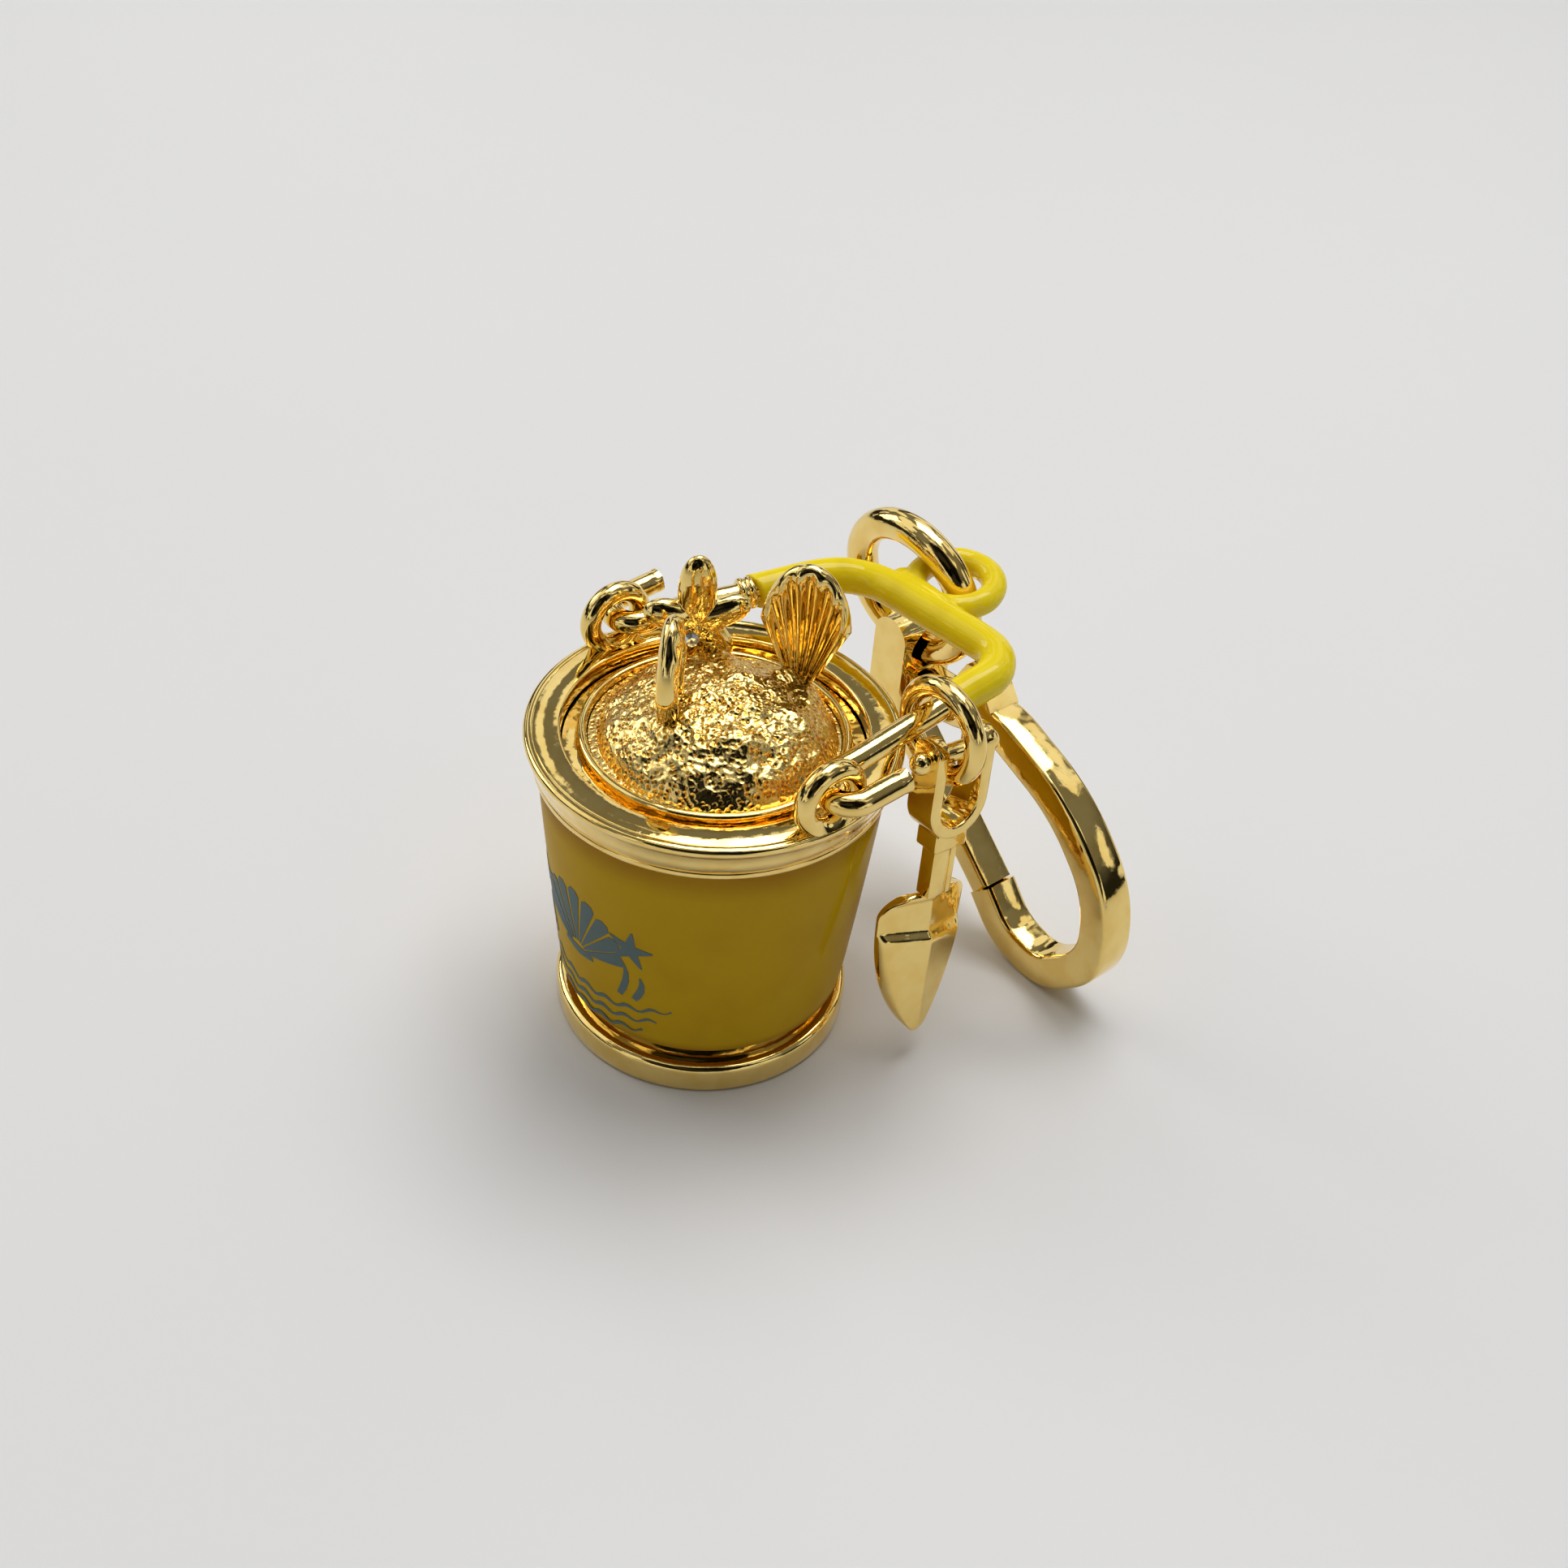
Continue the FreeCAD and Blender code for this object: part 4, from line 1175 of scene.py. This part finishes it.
@dataclass
class Bail(Assembly):
    """The bent wire, its enamelled arch with the eye, and the two collars."""

    body: str = "bail"
    pivot_height: float = 20.6
    tilt: float = 5.0
    hook: float = 1.3
    bar: float = 7.9
    tail: float = 2.5
    wire: float = 0.65
    coat: float = 1.0
    depth: float = 13.85
    near: float = 7.35
    far: float = -5.9
    near_start: float = 9.75
    far_start: float = 7.3
    eye_reach: float = 16.5
    eye_radius: float = 2.2
    eye_wire: float = 0.72

    def build(self) -> None:
        """Build and dress every piece of the bail."""
        self.place = Matrix.Translation((0, 0, self.pivot_height)) @ turn((1, 0, 0), self.tilt)
        self._wire()
        self._arch()
        self._collars()

    def corners(self) -> list[Vector]:
        """The bail's corners from the far arm round to the near one, in its own plane."""
        flat = [
            (-self.bar, self.hook), (-self.bar, 2 * self.hook), (self.far - 0.45, self.far_start),
            (self.far + 1.3, self.depth - 0.75), (1.5, self.depth), (self.near - 0.1, self.depth + 0.45),
            (self.near + 0.06, self.near_start), (self.bar, 2 * self.hook), (self.bar, self.hook),
        ]
        return [Vector((x, y, 0)) for x, y in flat]

    def _wire(self) -> None:
        """The gold wire with its hooks, in one length, and its rough cut ends."""
        out = self.bar + 2 * self.hook
        tip = self.hook + self.tail
        arch = self.corners()[1:-1]
        route = [Vector((-out, tip, 0)), Vector((-out, 0, 0)), Vector((-self.bar, 0, 0))]
        route += arch + [Vector((self.bar, 0, 0)), Vector((out, 0, 0)), Vector((out, tip, 0))]
        last = len(route) - 1
        piece = Route(route, full=(1, 2, last - 2, last - 1)).bar("bail_wire_bent", self.wire)
        for vertex in piece.data.vertices:
            x, y, z = vertex.co / MM
            if abs(x) > self.bar + self.hook and y > tip - 0.7:
                side = math.copysign(out, x)
                rough = 1 + 0.14 * noise.noise(Vector((x, y, z)) * 2.6)
                vertex.co = Vector((side + (x - side) * rough, y, z * rough)) * MM
        Bench.smooth(piece, 40)
        placed(piece, self.place)
        self.fit(piece, Finish.GOLD, "bail_wire")

    def _arch(self) -> None:
        """The enamelled arch, with the eye and its saddle run together under the enamel."""
        tube = Route(self.corners(), full=(5,)).bar("tube", self.coat, 12)
        for side, start in ((1, self.near_start), (-1, self.far_start)):
            Bench.trim(tube, Vector((0, start, 0)), Vector((0, 1, 0)), lambda point: point.x * side > 1)
        Bench.clear()
        bpy.ops.mesh.primitive_torus_add(
            major_segments=96, minor_segments=32, major_radius=self.eye_radius * MM,
            minor_radius=self.eye_wire * MM, location=(0, self.eye_reach * MM, 0),
        )
        eye = Bench.settle(bpy.context.object, "eye")
        saddle = Bench.cylinder(
            "saddle", Vector((0.0, self.eye_reach - self.eye_radius - 0.15, 0)), Vector((1, 0, 0)), 0.93, 3.4
        )
        web = []
        for side in (-1, 1):
            start = Vector((side * 1.55, self.eye_reach - self.eye_radius - 0.05, 0))
            web.append(Bench.cylinder("web", start, Vector((1, 0.42 * side, 0)), 0.8, 1.5))
        piece = Bench.join("enamel_arch", [tube, eye, saddle, *web])
        Bench.modify(piece, "REMESH", mode="VOXEL", voxel_size=0.075 * MM)
        Bench.modify(piece, "SMOOTH", factor=0.5, iterations=9)
        outwards = [vertex.normal.copy() for vertex in piece.data.vertices]
        for vertex, out in zip(piece.data.vertices, outwards):
            vertex.co += out * 0.03 * MM * noise.noise(vertex.co / MM * 0.7)
        Bench.smooth(piece, 180)
        placed(piece, self.place)
        self.fit(piece, Finish.YELLOW, "bail_enamel")

    def _collars(self) -> None:
        """The turned collar that ends the enamel on each arm."""
        corners = self.corners()
        outline = [
            (0.6, 0.0), (0.8, 0.0), (0.9, 0.08), (0.92, 0.2), (0.9, 0.34), (0.82, 0.42), (0.86, 0.52),
            (0.92, 0.64), (0.9, 0.8), (0.8, 0.9), (0.6, 0.9), (0.6, 0.0),
        ]
        for name, start, towards in (
            ("collar_near", corners[6], corners[7]),
            ("collar_far", corners[2], corners[1]),
        ):
            piece = Bench.turned(name + "_turned", outline, 64)
            Bench.smooth(piece, 50)
            along = (towards - start).to_track_quat("Z", "Y").to_matrix().to_4x4()
            placed(piece, self.place @ Matrix.Translation(start) @ along)
            self.fit(piece, Finish.GOLD, name)


# ---- clip ----------------------------------------------------------------------------------------


@dataclass
class Clip(Assembly):
    """The clip's head, band, shoulder, pin and spring."""

    body: str = "clip"
    plane: float = CLIP_PLANE
    width: float = CLIP_WIDTH
    thickness: float = 2.1
    edge: float = 0.28
    head_x: float = PIN_X
    head_half: float = 1.3
    head_depth: float = 3.8
    head_top: float = 18.05
    head_bottom: float = 9.7
    eyelet_z: float = 16.05
    eyelet_radius: float = 1.27
    slot_low: float = 4.4
    slot_high: float = 12.45
    slot_play: float = 0.06
    pivot_z: float = PIN_Z
    pin_radius: float = 0.45
    coil_radius: float = 0.64
    coil_length: float = 0.9
    coil_wire: float = 0.12
    coil_turns: int = 3
    coil_steps: int = 12

    def build(self) -> None:
        """Build and dress every piece of the clip."""
        self.place = Matrix.Translation((0, self.plane, 0))
        self._body()
        self._pin()
        self._spring()

    def _body(self) -> None:
        """Head and band in one casting, with softly rounded edges."""
        corners = [
            (self.head_x, 13.55), (0.6, 13.8), (4.2, 15.15), (10.4, 12.95), (14.25, 9.1),
            (14.9, 4.2), (11.3, 0.86), (7.9, 1.4), (5.9, 3.5),
        ]
        route = Route([Vector((x, 0, z)) for x, z in corners])
        band = route.band("clip_casting", rounded_section(self.width, self.thickness, self.edge))
        head = self._head()
        boss = self._boss()
        Bench.combine(band, head, "UNION")
        Bench.combine(band, boss, "UNION")
        middle = Vector((self.head_x, 0, self.eyelet_z))
        eyelet = Bench.cylinder("eyelet", middle, Vector((1, 0, 0)), self.eyelet_radius, THROUGH, 72)
        Bench.combine(band, eyelet, "DIFFERENCE")
        Bench.bevel(band, 0.12, 3, 40)
        Bench.smooth(band, 35)
        placed(band, self.place)
        self.fit(band, Finish.GOLD, "clip_body")

    def _head(self) -> bpy.types.Object:
        """The slotted head with rounded ends."""
        half, depth = self.head_half, self.head_depth
        low, high = self.head_bottom + half, self.head_top - half
        left, right = self.head_x - half, self.head_x + half
        head = Bench.block("head", (left, -depth / 2, low), (right, depth / 2, high))
        for z in (low, high):
            end = Bench.cylinder("end", Vector((self.head_x, 0, z)), Vector((0, 1, 0)), half, depth, 96)
            Bench.combine(head, end, "UNION")
        slot_half = self.width / 2 + self.slot_play
        left, right = self.head_x - 4, self.head_x + 4
        slot = Bench.block("slot", (left, -slot_half, self.slot_low), (right, slot_half, self.slot_high))
        Bench.combine(head, slot, "DIFFERENCE")
        return head

    def _boss(self) -> bpy.types.Object:
        """The raised shoulder on top of the band."""
        half = self.width / 2
        profile = [
            (0.9, 14.4), (1.55, 16.9), (2.05, 17.85), (2.6, 18.05), (3.05, 17.75), (4.45, 15.9),
            (4.4, 14.6),
        ]
        Bench.clear()
        bpy.ops.mesh.primitive_circle_add(vertices=len(profile), fill_type="NGON", radius=MM)
        boss = bpy.context.object
        for vertex, (x, z) in zip(boss.data.vertices, profile):
            vertex.co = Vector((x, -half + 0.01, z)) * MM
        bpy.ops.object.mode_set(mode="EDIT")
        bpy.ops.mesh.select_all(action="SELECT")
        across = (0, (2 * half - 0.02) * MM, 0)
        bpy.ops.mesh.extrude_region_move(TRANSFORM_OT_translate={"value": across})
        bpy.ops.object.mode_set(mode="OBJECT")
        boss = Bench.settle(boss, "boss")
        Bench.outward(boss)
        return boss

    def _pin(self) -> None:
        """The gate's pin with domed heads flush in the cheeks."""
        middle = Vector((self.head_x, self.plane, self.pivot_z))
        along = Vector((0, 1, 0))
        pin = Bench.cylinder("gate_pin_turned", middle, along, self.pin_radius, self.head_depth)
        Bench.bevel(pin, 0.08, 3)
        Bench.smooth(pin)
        self.fit(pin, Finish.GOLD, "gate_pin")

    def _spring(self) -> None:
        """The small torsion spring inside the gate's knuckle."""
        points = []
        count = self.coil_turns * self.coil_steps
        for k in range(count + 1):
            angle = 2 * math.pi * k / self.coil_steps
            x, z = self.coil_radius * math.cos(angle), self.coil_radius * math.sin(angle)
            points.append(Vector((x, -self.coil_length / 2 + self.coil_length * k / count, z)))
        spring = Route(points, 0.5, steps=3).bar("gate_coil", self.coil_wire, 3)
        Bench.smooth(spring, 60)
        placed(spring, Matrix.Translation((self.head_x, self.plane, self.pivot_z)))
        self.fit(spring, Finish.STEEL, "gate_spring")


@dataclass
class Gate(Assembly):
    """The spring gate."""

    body: str = "gate"
    nose_x: float = 5.9
    nose_z: float = 3.5
    thickness: float = 1.5
    edge: float = 0.25
    knuckle: float = 1.15
    bore: float = 0.49
    room: float = 0.88
    room_length: float = 1.38

    def build(self) -> None:
        """Build and dress the gate."""
        pivot, nose = Vector((PIN_X, 0, PIN_Z)), Vector((self.nose_x, 0, self.nose_z))
        along = (nose - pivot).normalized()
        end = nose - along * 0.05
        section = rounded_section(CLIP_WIDTH, self.thickness, self.edge)
        bar = Route([pivot, (pivot + end) / 2, end]).band("gate_bar", section)
        pin_line = Vector((0, 1, 0))
        knuckle = Bench.cylinder("knuckle", pivot, pin_line, self.knuckle, CLIP_WIDTH, 72)
        Bench.combine(bar, knuckle, "UNION")
        for name, radius, length in (("bore", self.bore, THROUGH), ("room", self.room, self.room_length)):
            Bench.combine(bar, Bench.cylinder(name, pivot, pin_line, radius, length), "DIFFERENCE")
        Bench.bevel(bar, 0.06, 2, 50)
        Bench.smooth(bar, 35)
        placed(bar, Matrix.Translation((0, CLIP_PLANE, 0)))
        self.fit(bar, Finish.GOLD, "clip_gate")


# ---- spade ---------------------------------------------------------------------------------------


@dataclass
class Spade(Assembly):
    """Grip, cross pin, shaft and blade."""

    body: str = "spade"
    inner: float = 1.3
    cheek: float = 0.7
    drop: float = 2.8
    overrun: float = 1.25
    half: float = 1.0
    socket: float = 0.9
    shaft: float = 3.1
    long: float = 9.6
    wide: float = 3.1
    thick: float = 1.0
    crease: float = 0.8
    edge: float = 0.14
    shoulder: float = 0.135
    root: float = 0.9

    def build(self) -> None:
        """Build and dress every piece of the spade."""
        self.place = Matrix.Translation((9.15, 8.5, 19.72)) @ turn((0, 1, 0), -5) @ turn((1, 0, 0), -5.5)
        self.outer = self.inner + self.cheek
        self.socket_low = -self.drop - self.outer - self.socket
        self.shaft_low = self.socket_low - self.shaft
        self._grip()
        self._pin()
        self._shaft()
        self._blade()

    def _grip(self) -> None:
        """The U-shaped grip with rounded tops and its socket."""
        middle = (self.inner + self.outer) / 2
        bottom = -self.drop - middle
        corners = [(-middle, self.overrun), (-middle, bottom), (middle, bottom), (middle, self.overrun)]
        route = Route([Vector((x, 0, z)) for x, z in corners], full=(1, 2))
        grip = route.band("spade_grip_cast", rounded_section(2 * self.half, self.cheek, self.edge))
        grip.data.transform(turn((0, 0, 1), 90))
        top = Vector((0, 0, self.overrun - self.half))
        keep = Bench.cylinder("crown", top, Vector((0, 1, 0)), self.half + 0.001, THROUGH, 96)
        below = Bench.block("below", (-1.2, -3, -12), (1.2, 3, self.overrun - self.half))
        Bench.combine(keep, below, "UNION")
        Bench.combine(grip, keep, "INTERSECT")
        top = -self.drop - self.outer + 0.3
        socket = Bench.block("socket", (-0.8, -1.1, self.socket_low), (0.8, 1.1, top))
        Bench.bevel(socket, 0.15, 3)
        Bench.combine(grip, socket, "UNION")
        Bench.bevel(grip, 0.06, 2, 50)
        Bench.smooth(grip, 35)
        placed(grip, self.place)
        self.fit(grip, Finish.GOLD, "spade_grip")

    def _pin(self) -> None:
        """The cross pin with a ball at each end."""
        parts = [Bench.cylinder("pin", Vector((0, 0, 0)), Vector((0, 1, 0)), 0.5, 2 * self.outer + 0.3)]
        for side in (-1, 1):
            Bench.clear()
            bpy.ops.mesh.primitive_uv_sphere_add(
                segments=40, ring_count=24, radius=0.62 * MM, location=(0, side * (self.outer + 0.35) * MM, 0)
            )
            parts.append(Bench.settle(bpy.context.object, "ball"))
        piece = parts[0]
        for ball in parts[1:]:
            Bench.combine(piece, ball, "UNION")
        piece = Bench.settle(piece, "grip_pin_turned")
        Bench.smooth(piece, 45)
        placed(piece, self.place)
        self.fit(piece, Finish.GOLD, "grip_pin")

    def _shaft(self) -> None:
        """The flat shaft with a shallow groove down its front."""
        shaft = Bench.block("shaft_cast", (-0.5, -0.8, self.shaft_low), (0.5, 0.8, self.socket_low + 0.02))
        groove = Bench.block("groove", (0.38, 0.28, self.shaft_low - 1), (0.7, 0.42, self.socket_low + 1))
        Bench.combine(shaft, groove, "DIFFERENCE")
        Bench.bevel(shaft, 0.12, 3)
        Bench.smooth(shaft, 35)
        placed(shaft, self.place)
        self.fit(shaft, Finish.GOLD, "spade_shaft")

    def _half_width(self, down: float) -> float:
        """Half the blade's width at a share of its length from the top."""
        if down < self.shoulder:
            rise = down / self.shoulder
            return self.root + (self.wide - self.root) * math.sin(rise * math.pi / 2) ** 0.6
        fall = (down - self.shoulder) / 0.865
        return self.wide * (1 - fall**2.3) ** 0.85

    def _blade(self) -> None:
        """The leaf-shaped blade, folded along its middle, with a hollow under the shaft."""

        def face(front: bool) -> Callable[[float, float], Vector]:
            """The blade's front or back."""

            def surface(across: float, down: float) -> Vector:
                """A point of that face."""
                side = (across - 0.5) * 2
                half = self._half_width(down)
                y = side * half
                z = self.shaft_low - down * self.long
                fold = 0.5 - self.crease * abs(y) / (self.wide + 0.5)
                edge = min(1.0, (1 - abs(side)) / 0.17, down / 0.05, (1 - down) / 0.07)
                lip = math.sqrt(max(0.0, 1 - (1 - max(0.0, edge)) ** 2))
                slope = 0.29 + 0.05 * side
                step = 1 / (1 + math.exp((down - slope) * 90))
                dish = 0.42 * step * min(1.0, down / 0.06) * lip
                if front:
                    return Vector((fold - 0.5 * self.thick * (1 - lip) - dish, y, z))
                return Vector((fold - self.thick * (0.5 + 0.5 * lip), y, z))

            return surface

        sides = [Bench.sheet(name, 60, 140, face(name == "front")) for name in ("front", "back")]
        blade = Bench.join("blade_cast", sides)
        Bench.outward(blade, 0.01)
        Bench.smooth(blade, 50)
        placed(blade, self.place)
        self.fit(blade, Finish.GOLD, "spade_blade")


# ---- studio ----------------------------------------------------------------------------------------


@dataclass
class Studio:
    """Pale floor, soft light and the camera."""

    eye: Triple = (62.471, -50.588, 81.372)
    heading: float = 138.273
    pitch: float = -39.326
    roll: float = 5.097
    lens: float = 44.72
    dark_way: Triple = (0.66, -0.50, 0.60)
    room_light: float = 0.78

    def build(self) -> None:
        """Set up the floor, the light and the camera."""
        self._floor()
        self._sky()
        self._lamps()
        self._camera()

    def _floor(self) -> None:
        """A wide sheet at the height the pail stands on."""
        Bench.clear()
        bpy.ops.mesh.primitive_plane_add(size=4.0, location=(0, 0, -0.00001))
        floor = Bench.settle(bpy.context.object, "floor")
        floor.data.materials.append(Finish.SHEET.material())

    def _sky(self) -> None:
        """A pale room with soft clutter, brighter overhead, and a dark patch on one side."""
        maker = MaterialMaker("room_maker")
        world = bpy.data.worlds.new("studio_room")
        bpy.context.scene.world = world
        world.use_nodes = True
        world.node_tree.nodes.clear()
        maker.tree = world.node_tree
        way = maker.node("ShaderNodeTexCoord", {}, {}).out("Generated")
        height = maker.node("ShaderNodeSeparateXYZ", {}, {"Vector": way}).out("Z")
        overhead = height.ramp(0.18, 0.62)
        facing = maker.node(
            "ShaderNodeVectorMath",
            {"operation": "DOT_PRODUCT"},
            {0: way, 1: Vector(self.dark_way).normalized()},
        ).out("Value")
        dark = facing.ramp(0.78, 0.86)
        clutter = maker.node(
            "ShaderNodeTexNoise", {}, {"Vector": way, "Scale": 3.2, "Detail": 1.5, "Roughness": 0.4}
        ).out("Fac")
        room = (overhead * 0.22 + clutter.ramp(0.49, 0.54) + 0.02) * (1 - dark * 0.97)
        back = maker.node(
            "ShaderNodeBackground", {}, {"Color": (1.0, 0.995, 0.99, 1.0), "Strength": room * self.room_light}
        )
        maker.node("ShaderNodeOutputWorld", {}, {"Surface": back.out("Background")})
        bpy.data.materials.remove(maker.material)

    def _lamps(self) -> None:
        """Large soft lamps overhead and on the left."""
        for name, place, size, power in (
            ("overhead", (-0.06, 0.14, 0.45), 0.30, 1.12),
            ("from_left", (-0.42, -0.16, 0.26), 0.22, 0.42),
        ):
            Bench.clear()
            bpy.ops.object.light_add(type="AREA", location=place)
            lamp = bpy.context.object
            lamp.name = name
            lamp.data.size = size
            lamp.data.energy = power
            towards = Vector((0, 0, 0.01)) - Vector(place)
            lamp.rotation_euler = towards.to_track_quat("-Z", "Y").to_euler()

    def _camera(self) -> None:
        """The camera, close to the pail and above it."""
        Bench.clear()
        bpy.ops.object.camera_add(location=Vector(self.eye) * MM)
        camera = bpy.context.object
        heading, pitch = math.radians(self.heading), math.radians(self.pitch)
        level_share = math.cos(pitch)
        ahead = Vector(
            (math.cos(heading) * level_share, math.sin(heading) * level_share, math.sin(pitch))
        )
        level = ahead.to_track_quat("-Z", "Y")
        camera.rotation_mode = "QUATERNION"
        camera.rotation_quaternion = Quaternion(ahead, math.radians(-self.roll)) @ level
        camera.data.sensor_width = 36.0
        camera.data.lens = self.lens
        camera.data.clip_start = 0.001
        bpy.context.scene.camera = camera


def main() -> None:
    """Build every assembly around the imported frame."""
    logging.basicConfig(level=logging.INFO, format="%(name)s: %(message)s")
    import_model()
    bpy.context.scene.view_settings.view_transform = "Standard"
    heavy = Ring(
        "clip_link", "heavy_ring", "clip_ring", centre=(-3.25, 16.54, 19.95), axis=(0.08, -0.98, -0.18),
        radius=4.1, wire=0.92, seam=200,
    )
    small = Ring(
        "spade_link", "small_ring", "spade_ring", centre=(8.55, 8.0, 20.9), axis=(0, 1, 0),
        radius=2.45, wire=0.58, seam=250,
    )
    for assembly in (Pail(), Print(), SandGarden(), Bail(), heavy, Clip(), Gate(), small, Spade()):
        assembly.build()
    Studio().build()


if __name__ == "__main__":
    main()
